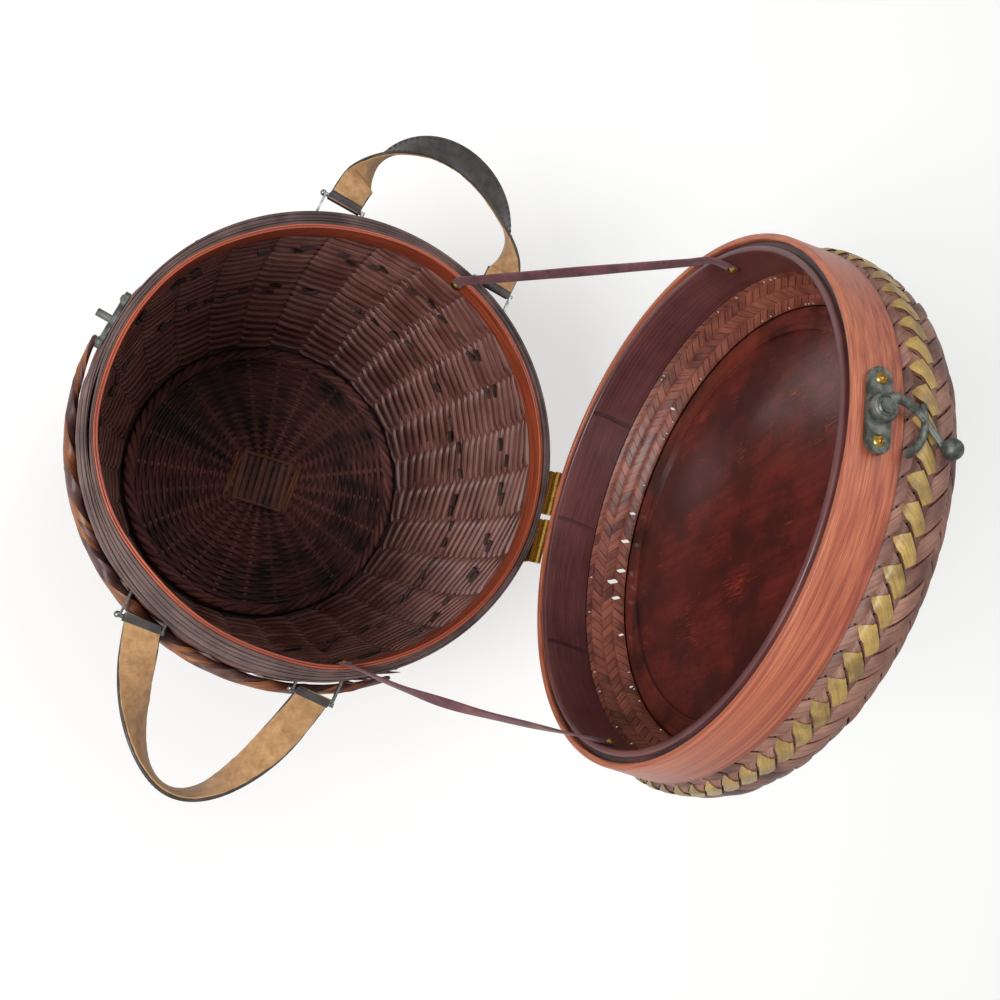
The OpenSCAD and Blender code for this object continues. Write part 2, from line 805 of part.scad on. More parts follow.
module dome_tack() {
    dome_r = (tack_r * tack_r + tack_h * tack_h) / (2 * tack_h);
    intersection() {
        translate([0, 0, tack_h - dome_r]) sphere(r = dome_r);
        cylinder(r = tack_r, h = tack_h);
    }
}

stay_gap = 0.2;
stay_seat = stay_t + stay_gap + touch;
function basket_tack(a) = polar(inner_hoop_r - stay_seat, a, basket_h - tack_depth);
function closed_lid_tack(a) =
    polar(lid_inner_hoop_r - stay_seat, a, basket_h + lid_seat + lid_tack_h);
function opened(p) =
    let (y = p[1] - hinge_y, z = p[2] - hinge_z, c = cos(open_deg), s = sin(open_deg))
    [p[0], hinge_y + c * y + s * z, hinge_z - s * y + c * z];

module basket_tacks() {
    color(brass) for (a = [upper_basket_dir, lower_basket_dir])
        translate(basket_tack(a)) rotate([0, 0, a]) rotate([0, -90, 0]) dome_tack();
}

module lid_tacks() {
    color(brass) open_lid() for (a = [upper_lid_dir, lower_lid_dir])
        translate(closed_lid_tack(a)) rotate([0, 0, a]) rotate([0, -90, 0]) dome_tack();
}

// Thong from the basket tack, over the rim and on to the lid tack.
function unit(v) = v / norm(v);
function thong_section(p, dir, flat) =
    let (side = unit(cross(dir, flat)), up = unit(cross(side, dir)))
    [p - side * stay_w / 2 - up * stay_t / 2, p - side * stay_w / 2 + up * stay_t / 2,
     p + side * stay_w / 2 + up * stay_t / 2, p + side * stay_w / 2 - up * stay_t / 2];

// The thong lies on both hoops, and leaves each a little inside the hoop's edge.
stay_mid = stay_t / 2 + touch;
rim_clear = 2.4;
lid_clear = 3;
function lid_way(dir) = opened(polar(1, dir, 0)) - opened([0, 0, 0]);
function thong_path(basket_dir, lid_dir, sag) =
    let (from = basket_tack(basket_dir) + stay_mid * polar(1, basket_dir, 0),
         over = from + polar(-touch, basket_dir, tack_depth + rim_clear),
         to = opened(closed_lid_tack(lid_dir) + stay_mid * polar(1, lid_dir, 0)),
         edge = to + opened([0, 0, -lid_tack_h - lid_clear]) - opened([0, 0, 0])
             - 2 * touch * lid_way(lid_dir))
    concat([from], [for (k = [0:stay_steps])
        let (u = k / stay_steps) over + u * (edge - over) - [0, 0, 4 * sag * u * (1 - u)]], [to]);

module thong(basket_dir, lid_dir, sag) {
    path = thong_path(basket_dir, lid_dir, sag);
    last = len(path) - 1;
    ribbon([for (k = [0:last])
        let (dir = unit(path[min(last, k + 1)] - path[max(0, k - 1)]),
             u = max(0, min(1, (k - 1) / stay_steps)),
             flat = (1 - u) * polar(1, basket_dir, 0) + u * lid_way(lid_dir))
        thong_section(path[k], dir, flat)]);
}

module upper_stay() {
    color(stay_plum) thong(upper_basket_dir, upper_lid_dir, 0);
}

module lower_stay() {
    color(stay_plum) thong(lower_basket_dir, lower_lid_dir, lower_stay_sag);
}

// Handles

// Handle frame: X outwards, Y along the pin line, Z up, origin on the pin line.
module at_handle(turn) {
    rotate([0, 0, handle_dir + turn]) translate([pin_out, 0, basket_h - pin_drop]) children();
}

// Round pins with knobbed ends, each carried by two posts off the outer hoop.
module handle_pins() {
    color(steel) for (turn = [0, 180], side = [-1, 1]) at_handle(turn) {
        translate([0, side * handle_half, 0]) rotate([90, 0, 0]) {
            cylinder(r = handle_pin_r, h = strap_w + 2 * pin_past, center = true);
            translate([0, 0, (turn == 0 ? 1 : -1) * (strap_w / 2 + pin_past)])
                sphere(r = knob_r);
        }
        for (end = [-1, 1]) {
            at_y = side * handle_half + end * (strap_w / 2 + post_gap + post_t / 2);
            reach = pin_out - sqrt(rim_r * rim_r - pow(abs(at_y) - post_t / 2, 2)) - touch;
            translate([-reach, at_y - post_t / 2, -post_h / 2]) cube([reach, post_t, post_h]);
        }
    }
}

module strap_eyes(turn) {
    at_handle(turn) for (side = [-1, 1]) translate([0, side * handle_half, 0])
        rotate([90, 0, 0]) difference() {
            cylinder(r = eye_r, h = strap_w, center = true);
            cylinder(r = handle_pin_r + pin_clearance, h = strap_w + 2, center = true);
        }
}

function bezier(p, u) = p[0] * pow(1 - u, 3) + 3 * p[1] * u * pow(1 - u, 2)
    + 3 * p[2] * u * u * (1 - u) + p[3] * pow(u, 3);
function bezier_dir(p, u) = unit((p[1] - p[0]) * pow(1 - u, 2)
    + 2 * (p[2] - p[1]) * u * (1 - u) + (p[3] - p[2]) * u * u);

// Section of a strap that lies flat over the pins at its ends and turns by twist between them.
function strap_at(loop, twist, u, low, high) =
    let (p = bezier(loop, u),
         t = u == 0 ? [1, 0] : u == 1 ? [-1, 0] : bezier_dir(loop, u),
         past = max(0, min(u, 1 - u) - strap_flat),
         turn = twist * pow(sin(90 * past / (0.5 - strap_flat)), 0.8),
         lift = strap_lift * pow(cos(90 * min(1, past / strap_fall)), 2),
         inward = [-t[1], t[0], 0], c = [p[0], p[1], lift],
         face = cos(turn) * [0, 0, 1] + sin(turn) * inward,
         wide = cos(turn) * inward - sin(turn) * [0, 0, 1])
    [c - wide * strap_w / 2 + face * low, c - wide * strap_w / 2 + face * high,
     c + wide * strap_w / 2 + face * high, c + wide * strap_w / 2 + face * low];

module strap_layer(turn, low, high) {
    loop = turn == 0 ? right_loop : left_loop;
    twist = turn == 0 ? right_twist : left_twist;
    at_handle(turn) rotate([0, handle_droop, 0])
        ribbon([for (k = [0:strap_steps]) strap_at(loop, twist, k / strap_steps, low, high)]);
}

module right_strap() {
    color(leather_black) strap_layer(0, -strap_t, 0);
}

module right_strap_lining() {
    color(suede_tan) strap_layer(0, strap_gap, strap_gap + lining_t);
}

module right_strap_eyes() {
    color(leather_black) strap_eyes(0);
}

module left_strap() {
    color(leather_black) strap_layer(180, -strap_t, 0);
}

module left_strap_lining() {
    color(suede_tan) strap_layer(180, strap_gap, strap_gap + lining_t);
}

module left_strap_eyes() {
    color(leather_black) strap_eyes(180);
}

foot_ring();
foot_border();
base_weave_over();
base_weave_under();
base_slath();
upset_border();
wall_weave_inner();
wall_weave_outer();
rim_border();
rim_inner_hoop();
rim_middle_hoop();
rim_outer_hoop();
rim_side_hoop();
rim_pegs();
keeper_plate();
keeper_screws();
basket_hinge_leaves();
basket_hinge_screws();
basket_tacks();
handle_pins();
lid_band();
lid_core_hoop();
lid_inner_hoop();
lid_backing();
lid_strips_left();
lid_strips_right();
lid_gold_strips();
lining_cone();
lining_strips_left();
lining_strips_right();
inner_lath_ring();
outer_lath_ring();
inner_panel();
outer_panel();
panel_spacer();
lid_hinge_leaves();
lid_hinge_screws();
hinge_pins();
lid_tacks();
latch_plate();
latch_rivet();
latch_screws();
latch_arm();
right_strap();
right_strap_lining();
right_strap_eyes();
left_strap();
left_strap_lining();
left_strap_eyes();
upper_stay();
lower_stay();
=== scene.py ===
import math

import bpy
import numpy as np
from mathutils import Euler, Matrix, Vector


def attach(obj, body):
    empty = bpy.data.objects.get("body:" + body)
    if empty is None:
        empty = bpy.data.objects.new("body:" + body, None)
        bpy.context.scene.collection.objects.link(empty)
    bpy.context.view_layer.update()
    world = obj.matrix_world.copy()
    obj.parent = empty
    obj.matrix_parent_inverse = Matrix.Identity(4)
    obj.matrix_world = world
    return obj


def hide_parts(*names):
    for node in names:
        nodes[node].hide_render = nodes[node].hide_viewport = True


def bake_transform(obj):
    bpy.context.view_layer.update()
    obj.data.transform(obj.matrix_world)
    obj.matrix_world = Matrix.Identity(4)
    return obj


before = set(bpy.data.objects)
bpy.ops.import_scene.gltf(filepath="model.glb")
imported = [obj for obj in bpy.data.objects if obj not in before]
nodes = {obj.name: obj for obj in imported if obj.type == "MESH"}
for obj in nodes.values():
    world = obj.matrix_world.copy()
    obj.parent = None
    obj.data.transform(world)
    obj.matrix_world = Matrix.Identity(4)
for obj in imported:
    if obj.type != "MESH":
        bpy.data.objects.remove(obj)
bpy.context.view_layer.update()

scene = bpy.context.scene

# Camera and light
# The basket was photographed from above and a little in front, standing on a white table
# with the lid thrown back. Soft light comes from the latch side.
camera_place = (0.1158, -0.1141, 0.8553)
camera_turn = (4.691, -20.664, 104.984)
camera_lens = 43.2
camera = bpy.data.objects.new("camera", bpy.data.cameras.new("camera"))
camera.data.lens = camera_lens
camera.data.sensor_width = 36
camera.location = camera_place
camera.rotation_euler = Euler([math.radians(a) for a in camera_turn])
scene.collection.objects.link(camera)
scene.camera = camera
scene.view_settings.view_transform = "Standard"


def add(tree, kind, sockets=None, **settings):
    """Adds one shader node, applies its settings, and gives its sockets their values or links."""
    made = tree.nodes.new(kind)
    for name, value in settings.items():
        setattr(made, name, value)
    for socket, value in (sockets or {}).items():
        if isinstance(value, bpy.types.NodeSocket):
            tree.links.new(value, made.inputs[socket])
        else:
            made.inputs[socket].default_value = value
    return made


def colour(code):
    """An sRGB hex code as linear red, green, blue and a full alpha."""
    parts = [int(code[i:i + 2], 16) / 255 for i in (1, 3, 5)]
    linear = [c / 12.92 if c <= 0.04045 else ((c + 0.055) / 1.055) ** 2.4 for c in parts]
    return (*linear, 1.0)


def soft_light(name, place, aim, power, size):
    """A square soft box at place, facing aim."""
    lamp = bpy.data.lights.new(name, "AREA")
    lamp.energy = power
    lamp.size = size
    holder = bpy.data.objects.new(name, lamp)
    holder.location = place
    holder.rotation_euler = (Vector(aim) - Vector(place)).to_track_quat("-Z", "Y").to_euler()
    scene.collection.objects.link(holder)


soft_light("key_light", (0.75, -1.15, 1.75), (0, 0.05, 0.2), 30, 0.9)
soft_light("fill_light", (-0.9, 0.5, 1.9), (0, 0.05, 0.2), 9, 1.2)

world_level = 0.42
world = bpy.data.worlds.new("studio")
world.use_nodes = True
scene.world = world
world.node_tree.nodes.clear()
air = add(world.node_tree, "ShaderNodeBackground",
          {"Color": (1, 1, 1, 1), "Strength": world_level})
add(world.node_tree, "ShaderNodeOutputWorld", {"Surface": air.outputs[0]})

# Floor
# A white table, seen by the camera as nearly white but still taking the basket's shadow.
floor_half = 3.0
floor_mesh = bpy.data.meshes.new("floor")
floor_mesh.from_pydata([(x * floor_half, y * floor_half, -0.0005)
                        for x, y in ((-1, -1), (1, -1), (1, 1), (-1, 1))], [], [(0, 1, 2, 3)])
floor = bpy.data.objects.new("floor", floor_mesh)
scene.collection.objects.link(floor)


def new_material(name):
    """An empty procedural material, and the tree that its nodes go into."""
    material = bpy.data.materials.new(name)
    material.use_nodes = True
    material.node_tree.nodes.clear()
    return material, material.node_tree


table_white, tree = new_material("table_white")
paint = add(tree, "ShaderNodeBsdfDiffuse", {"Color": colour("#eeeeec")})
seen = add(tree, "ShaderNodeLightPath")
lift = add(tree, "ShaderNodeMath", {0: seen.outputs["Is Camera Ray"], 1: 0.24},
           operation="MULTIPLY")
glow = add(tree, "ShaderNodeEmission", {"Strength": lift.outputs[0]})
both = add(tree, "ShaderNodeAddShader", {0: paint.outputs[0], 1: glow.outputs[0]})
add(tree, "ShaderNodeOutputMaterial", {"Surface": both.outputs[0]})
floor_mesh.materials.append(table_white)

# Foot
# A split-bamboo ring carries the basket, with a border of twisted rods laid round it.
# Shapes are worked out in millimetres and put into the mesh in metres.
foot_ring_r = 102
MM = 0.001
sharp_edge_deg = 38
chance = np.random.default_rng(7)


def piece(name, points, faces, material, body, replaces=(), grain=None, shade=None):
    """Makes one mesh in metres from points in millimetres, hands it to its body and hides the
    parts that it replaces.
    """
    mesh = bpy.data.meshes.new(name)
    mesh.from_pydata((points.reshape(-1, 3) * MM).tolist(), [], faces)
    mesh.update()
    mesh.shade_smooth()
    mesh.set_sharp_from_angle(angle=math.radians(sharp_edge_deg))
    if grain is not None:
        made = mesh.attributes.new("grain", "FLOAT_VECTOR", "POINT")
        made.data.foreach_set("vector", (grain.reshape(-1, 3) * MM).astype(np.float32).ravel())
    if shade is not None:
        made = mesh.attributes.new("shade", "FLOAT", "POINT")
        made.data.foreach_set("value", shade.astype(np.float32).ravel())
    mesh.materials.append(material)
    shown = bpy.data.objects.new(name, mesh)
    scene.collection.objects.link(shown)
    if body:
        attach(shown, body)
    if replaces:
        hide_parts(*replaces)
    return shown


def skin(count, rows, corners, closed):
    """Quads of count tubes: section i joins section i + 1, corner j joins corner j + 1.
    An open tube also gets one flat face at each end."""
    last = rows if closed else rows - 1
    i, j = np.meshgrid(np.arange(last), np.arange(corners), indexing="ij")
    k, l = (i + 1) % rows, (j + 1) % corners
    quads = np.stack([i * corners + j, i * corners + l, k * corners + l, k * corners + j], -1)
    starts = np.arange(count) * rows * corners
    faces = (quads.reshape(1, -1, 4) + starts[:, None, None]).reshape(-1, 4).tolist()
    if not closed:
        for start in starts.tolist():
            faces.append([start + c for c in reversed(range(corners))])
            faces.append([start + (rows - 1) * corners + c for c in range(corners)])
    return faces


def unit(v):
    """Each vector divided by its length."""
    return v / np.maximum(np.linalg.norm(v, axis=-1, keepdims=True), 1e-9)


def sweep(paths, across, section, closed, scale=None):
    """A section carried along many paths: point = path + a * across + b * up, where up stands
    square to the path and to across. Returns points, faces and the fibre coordinates
    (a, b, length along), with each path's fibres shifted apart."""
    ahead = np.roll(paths, -1, 1) - np.roll(paths, 1, 1)
    if not closed:
        ahead[:, 0] = paths[:, 1] - paths[:, 0]
        ahead[:, -1] = paths[:, -1] - paths[:, -2]
    ahead = unit(ahead)
    side = unit(across - ahead * (across * ahead).sum(-1, keepdims=True))
    up = np.cross(ahead, side)
    shape = np.broadcast_to(section, (*paths.shape[:2], *section.shape[-2:]))
    if scale is not None:
        shape = shape * scale[..., None, :]
    points = (paths[:, :, None] + shape[..., :1] * side[:, :, None]
              + shape[..., 1:] * up[:, :, None])
    steps = np.linalg.norm(np.diff(paths, axis=1), axis=-1)
    along = np.concatenate([np.zeros((len(paths), 1)), np.cumsum(steps, 1)], 1)
    along = along * (0 if closed else 1)
    grain = np.concatenate([shape, np.broadcast_to(along[..., None, None],
                                                   (*shape.shape[:-1], 1))], -1).copy()
    grain[..., 0] += 37.0 * np.arange(len(paths))[:, None, None]
    return points, tube_faces(points, closed), grain


def volume(points, faces):
    """Signed volume from the four-cornered faces, which tells if they point outwards."""
    quads = np.array([face for face in faces if len(face) == 4])
    a, b, c, d = (points[quads[:, n]] for n in range(4))
    return float((a * (np.cross(b, c) + np.cross(c, d))).sum())


def tube_faces(points, closed):
    """Faces of tubes, turned outwards; points is an array (tubes, sections, corners, 3)."""
    faces = skin(*points.shape[:3], closed)
    if volume(points.reshape(-1, 3), faces) < 0:
        faces = [face[::-1] for face in faces]
    return faces


def round_section(rx, ry, corners=8):
    """Corners of an ellipse with half widths rx and ry."""
    t = np.arange(corners) * 2 * np.pi / corners
    return np.stack([rx * np.cos(t), ry * np.sin(t)], -1)


def circles(radius, height, turns):
    """Points at the given radius and height, round the Z axis, for whole arrays at once."""
    return np.stack([radius * np.cos(turns), radius * np.sin(turns),
                     np.broadcast_to(height, np.shape(radius * np.cos(turns)))], -1)


def outward(paths):
    """Unit vectors from the Z axis towards each point."""
    flat = paths.copy()
    flat[..., 2] = 0
    return unit(flat)


def upward(paths):
    """A unit vector straight up for each point."""
    return np.broadcast_to([0.0, 0, 1], paths.shape)


def rope(radius, height, strands, twists, coil_r, coil_z, samples=480):
    """Strands that turn round a ring: strand k is at the ring's radius + coil_r * cos(p) and at
    its height + coil_z * sin(p), where p = twists * angle + k / strands of a turn."""
    turns = np.arange(samples) * 2 * np.pi / samples
    phase = twists * turns[None] + 2 * np.pi * np.arange(strands)[:, None] / strands
    return circles(radius + coil_r * np.cos(phase), height + coil_z * np.sin(phase),
                   np.broadcast_to(turns, phase.shape))


def shades(count, rows, corners):
    """One random shade from 0 to 1 for each path, the same on all its points."""
    return np.repeat(chance.random(count), rows * corners)


def rods(name, paths, across, section, material, replaces=(), body="basket",
         closed=False, scale=None, shade=None):
    """A piece made of one section carried along many paths. Each path has a random shade
    unless a shade is given."""
    points, faces, grain = sweep(paths, across, section, closed, scale)
    if shade is None:
        shade = shades(*points.shape[:3])
    return piece(name, points, faces, material, body, replaces, grain, shade)


cane_bump_mm = 0.08


def cane(name, pale, middle, deep, fibre_mm=0.5, roughness=0.5, coat=0.15,
         patch_mm=30, streak="#000000", streak_amount=0.0, broad_mm=0.0):
    """Split bamboo or peeled rod under stain. Noise stretched along the fibres gives the grain,
    each rod has its own shade, and slow patches show where the stain wore or gathered. With
    broad_mm the patches are stretched along the fibres too, as stripes of that width."""
    material, tree = new_material(name)
    grain = add(tree, "ShaderNodeAttribute", attribute_name="grain").outputs["Vector"]
    shade = add(tree, "ShaderNodeAttribute", attribute_name="shade").outputs["Fac"]
    place = add(tree, "ShaderNodeTexCoord").outputs["Object"]
    fine = 1 / (fibre_mm * MM)
    slow = 1 / (60 * fibre_mm * MM)
    fibre = add(tree, "ShaderNodeVectorMath", {0: grain, 1: (fine, fine, slow)},
                operation="MULTIPLY").outputs[0]
    drift = add(tree, "ShaderNodeVectorMath", {0: place, 1: (slow, 0.6 * slow, 0.8 * slow)},
                operation="DOT_PRODUCT").outputs["Value"]
    lines = add(tree, "ShaderNodeTexNoise",
                {"Vector": fibre, "W": drift, "Scale": 1.0, "Detail": 3.0, "Roughness": 0.6},
                noise_dimensions="4D").outputs["Fac"]
    if broad_mm:
        wide = add(tree, "ShaderNodeVectorMath",
                   {0: grain, 1: (1 / (broad_mm * MM), 1 / (broad_mm * MM), 0)},
                   operation="MULTIPLY").outputs[0]
        patches = add(tree, "ShaderNodeTexNoise",
                      {"Vector": wide, "W": drift, "Scale": 1.0, "Detail": 2.0},
                      noise_dimensions="4D").outputs["Fac"]
    else:
        patches = add(tree, "ShaderNodeTexNoise",
                      {"Vector": place, "Scale": 1 / (patch_mm * MM), "Detail": 3.0,
                       "Roughness": 0.6}).outputs["Fac"]
    lines_fac = add(tree, "ShaderNodeMapRange", {0: lines, 1: 0.36, 2: 0.64}).outputs[0]
    patch_fac = add(tree, "ShaderNodeMapRange", {0: patches, 1: 0.38, 2: 0.62}).outputs[0]
    # On the base and wall rods the shade attribute also carries a painted highlight and painted
    # shade.
    tone = add(tree, "ShaderNodeMath", {0: shade, 1: patch_fac}, operation="ADD").outputs[0]
    tone = add(tree, "ShaderNodeMath", {0: tone, 1: 0.5}, operation="MULTIPLY").outputs[0]
    ground = add(tree, "ShaderNodeMix", {0: tone, 6: colour(deep), 7: colour(middle)},
                 data_type="RGBA").outputs[2]
    high = add(tree, "ShaderNodeMath", {0: lines_fac, 1: tone}, operation="MULTIPLY").outputs[0]
    body = add(tree, "ShaderNodeMix", {0: high, 6: ground, 7: colour(pale)},
               data_type="RGBA").outputs[2]
    if streak_amount:
        cut = add(tree, "ShaderNodeMapRange", {0: lines, 1: 0.62, 2: 0.7, 3: 0.0,
                                               4: streak_amount}).outputs[0]
        body = add(tree, "ShaderNodeMix", {0: cut, 6: body, 7: colour(streak)},
                   data_type="RGBA").outputs[2]
    bump = add(tree, "ShaderNodeBump", {"Height": lines_fac, "Distance": cane_bump_mm * MM,
                                        "Strength": 0.8}).outputs[0]
    dull = add(tree, "ShaderNodeMapRange", {0: patch_fac, 3: roughness - 0.08,
                                            4: roughness + 0.08}).outputs[0]
    surface = add(tree, "ShaderNodeBsdfPrincipled",
                  {"Base Color": body, "Roughness": dull, "Normal": bump,
                   "Coat Weight": coat, "Coat Roughness": 0.3})
    add(tree, "ShaderNodeOutputMaterial", {"Surface": surface.outputs[0]})
    return material


stained_rod = cane("stained_willow_rod", "#8d6052", "#6d3f36", "#43221e", fibre_mm=0.8,
                   roughness=0.5)

foot_strand = 2.6
foot_paths = rope(foot_ring_r + 5.2, 7.3, 4, 13, 2.3, 2.6)
rods("foot_twisted_rods", foot_paths, outward(foot_paths),
     round_section(foot_strand, foot_strand), stained_rod, ["foot_border"],
     closed=True)


def repaint(node, material):
    """Gives a carried-over solid its finish."""
    shown = nodes[node]
    shown.data.materials.clear()
    shown.data.materials.append(material)


# Base
# Sticks lie side by side in the middle under two thin lashings, and their ends are fanned out
# as spokes. Thin rods are woven over and under the spokes, and are paler where they ride high
# near the middle: partly wear, partly a painted highlight.
foot_h = 5.05
base_z = foot_h + 2.5
base_edge_r = 94.7
base_spokes = 24
slath_rods = 8
slath_rod_d = 4.6
slath_half = slath_rods * slath_rod_d / 2
woven_rods = 34
woven_rod_r = 1.15
woven_rod_w = 1.45
woven_swing = 1.3

base_stain = cane("dark_stained_base_rod", "#a8645c", "#56302c", "#221413", fibre_mm=0.7,
                  roughness=0.7, coat=0.0)
slath_stain = cane("stained_base_stick", "#a8725f", "#7a4638", "#3a211c", fibre_mm=0.7,
                   roughness=0.6, coat=0.0)
lashing_stain = cane("orange_lashing_splint", "#b57c55", "#8c5439", "#4a2c22", fibre_mm=0.5,
                     roughness=0.55, coat=0.0)

turns = np.arange(base_spokes * 8) * 2 * np.pi / (base_spokes * 8)
square_r = np.minimum((slath_half + 1.4) / np.maximum(abs(np.cos(turns)), abs(np.sin(turns))),
                      slath_half * 1.36)
share = np.linspace(0, 1, woven_rods)[:, None]
ring_r = square_r + (base_edge_r - woven_rod_r - square_r) * share
parity = np.where(np.arange(woven_rods) % 2 == 0, 1, -1)[:, None]
over = np.tanh(1.4 * parity * np.sin(base_spokes / 2 * turns)) / np.tanh(1.4)
base_paths = circles(ring_r, base_z + woven_swing * over, np.broadcast_to(turns, ring_r.shape))
# Partly wear, partly a painted highlight: the rods are paler where they ride high over the spokes,
# most near the middle.
worn = np.clip(over, 0, 1) ** 2 * np.exp(-((ring_r - slath_half) / 42) ** 2)
base_wear_and_painted_highlight = worn + 0.3 * chance.random((woven_rods, 1)) - 0.1
rods("base_woven_rods", base_paths, outward(base_paths),
     round_section(woven_rod_w, woven_rod_r, 6), base_stain,
     ["base_weave_over", "base_weave_under"], closed=True,
     shade=np.repeat(base_wear_and_painted_highlight.ravel(), 6))

spoke_turns = (np.arange(base_spokes) + 0.5) * 2 * np.pi / base_spokes
spoke_r = np.linspace(17, base_edge_r - 1, 14)
spoke_paths = circles(np.broadcast_to(spoke_r, (base_spokes, 14)), base_z,
                      np.broadcast_to(spoke_turns[:, None], (base_spokes, 14)))
rods("base_spokes", spoke_paths, upward(spoke_paths), round_section(1.1, 1.6), slath_stain)

slath_at = (np.arange(slath_rods) - (slath_rods - 1) / 2) * slath_rod_d
stick = np.linspace(-1, 1, 9)


def sticks(offsets, half, height, lengthwise, bow, lean=0.0):
    """Straight sticks side by side, each bowed so that its middle stands higher, and leaning
    by a chance amount up to lean at its ends."""
    run = np.broadcast_to(stick * half, (len(offsets), 9))
    tilt = lean * (2 * chance.random((len(offsets), 1)) - 1)
    aside = np.reshape(offsets, (-1, 1)) + tilt * stick
    rise = height + bow * (1 - stick ** 2) + 0 * run
    return np.stack([run, aside, rise] if lengthwise else [aside, run, rise], -1)


slath_paths = np.concatenate([sticks(slath_at, slath_half, base_z + 1.5, True, 0.5, 0.5),
                              sticks(slath_at, slath_half, base_z - 1.2, False, 0.3)])
rods("base_lashed_sticks", slath_paths, upward(slath_paths), round_section(1.6, 2.25),
     slath_stain, ["base_slath"])

lash_paths = np.concatenate([
    sticks([-slath_half + 1.6, slath_half - 1.6], slath_half - 1.5, base_z + 3.3, False, 0.7, 0.8),
    sticks([-slath_half - 1.8, -slath_half - 4, slath_half + 1.6, slath_half + 3.8],
           slath_half - 4, base_z + 1.6, True, 0.8, 1.6)])
rods("base_lashings", lash_paths, upward(lash_paths), round_section(1.0, 1.1),
     lashing_stain)

upset_rod_r = 1.9
upset_paths = rope(base_edge_r - 4.6, base_z + 6.0, 3, 22, upset_rod_r, upset_rod_r, 528)
rods("base_edge_twisted_rods", upset_paths, outward(upset_paths),
     round_section(upset_rod_r, upset_rod_r), base_stain, ["upset_border"],
     closed=True)

# Wall
# Willow rods climb as they go in front of one stake and behind the next. Each row lies the
# other way round from the row below, so the columns between the stakes meet like zips.
rim_h = 234.0
hoop_h = 16.0
wall_rows = 46
wall_stakes = 28
wall_rod_d = 4.8
wall_swing = 1.9
rod_half_t = 2.2
rod_half_h = 2.85
belly_r = 124.8
belly_z = rim_h - 60
wall_foot_r = foot_ring_r - 3.6
wall_arc_r = (((belly_z - foot_h) ** 2 + (belly_r - wall_foot_r) ** 2)
              / (2 * (belly_r - wall_foot_r)))


def wall_r(z):
    """Radius of the wall's middle: an arc whose widest place is the belly."""
    return belly_r - wall_arc_r + np.sqrt(wall_arc_r ** 2 - (z - belly_z) ** 2)


wall_stain = cane("worn_wall_rod", "#a4756a", "#714036", "#4d1a16", fibre_mm=0.8,
                  roughness=0.5, patch_mm=24)
# The cut rod ends' dark stain, also used as the painted shade of the wall's dark core.
cut_end_stain_and_core_shade = cane("dark_cut_rod_end_and_core_shade", "#6a5248", "#43312a", "#241a17", fibre_mm=0.8,
                     roughness=0.65, coat=0.0)

wall_low = foot_h + wall_rod_d / 2
wall_high = rim_h - hoop_h - 0.05 - wall_rod_d / 2
row_z = np.linspace(wall_low, wall_high, wall_rows)[:, None]
turns = np.arange(wall_stakes * 12)[None] * 2 * np.pi / (wall_stakes * 12)
lay = np.where(np.arange(wall_rows) % 2 == 0, 0, np.pi)[:, None]
column = wall_stakes / 2 * turns + lay
wave = np.tanh(2.2 * np.sin(column)) / np.tanh(2.2)
climb = (4.5 + 3 * np.cos(turns - math.radians(50))) * 2 / np.pi * np.arcsin(
    0.98 * np.cos(column))
climb = climb * np.clip((wall_high - row_z) / 20, 0, 1) * np.clip((row_z - wall_low) / 24, 0, 1)
sway = sum(0.14 * np.sin(n * turns + 6.28 * chance.random((wall_rows, 1))) for n in (2, 5, 9))
wall_paths = circles(wall_r(row_z) + wall_swing * wave, row_z + climb + sway,
                     np.broadcast_to(turns, sway.shape))
# Painted light and shade: each rod is paler on its crowns, which face into and out of the basket,
# and darker on its upper and lower sides, down in the grooves between rows.
crown_light_groove_shade = abs(np.cos(np.arange(8) * np.pi / 4)) ** 1.5
for name, first, node in (("wall_rods_even", 0, "wall_weave_inner"),
                          ("wall_rods_odd", 1, "wall_weave_outer")):
    some = wall_paths[first::2]
    rod_shade = 0.2 + 0.25 * chance.random((len(some), wall_stakes // 2))
    rod_shade = np.repeat(rod_shade, 24, 1)[..., None] + 0.55 * crown_light_groove_shade
    rods(name, some, outward(some), round_section(rod_half_t, rod_half_h), wall_stain,
         [node], closed=True, shade=rod_shade)

stake_turns = np.arange(wall_stakes)[:, None] * 2 * np.pi / wall_stakes
stake_z = np.linspace(foot_h, rim_h - hoop_h - 0.3, 16)[None]
stake_paths = circles(wall_r(stake_z) + 0 * stake_turns, stake_z + 0 * stake_turns,
                      stake_turns + 0 * stake_z)
rods("wall_stakes", stake_paths, outward(stake_paths), round_section(1.4, 2.2), base_stain)

# A thin dark layer in the middle of the wall is painted shade: it darkens the small gaps where the
# rods cross.
core_half_t = 0.4
core_samples = 144
core_z = np.linspace(foot_h + 1, rim_h - hoop_h - 1, 40)
core_r = wall_r(core_z)
core_profile = np.concatenate([np.stack([core_r - core_half_t, core_z], -1),
                               np.stack([core_r + core_half_t, core_z], -1)[::-1]])
core_turns = np.arange(core_samples)[:, None] * 2 * np.pi / core_samples
core_points = circles(core_profile[:, 0] + 0 * core_turns, core_profile[:, 1],
                      core_turns + 0 * core_profile[:, 0])
piece("wall_painted_shade_core", core_points, tube_faces(core_points[None], True), cut_end_stain_and_core_shade,
      "basket", (), core_points, np.zeros(core_points.shape[:2]))

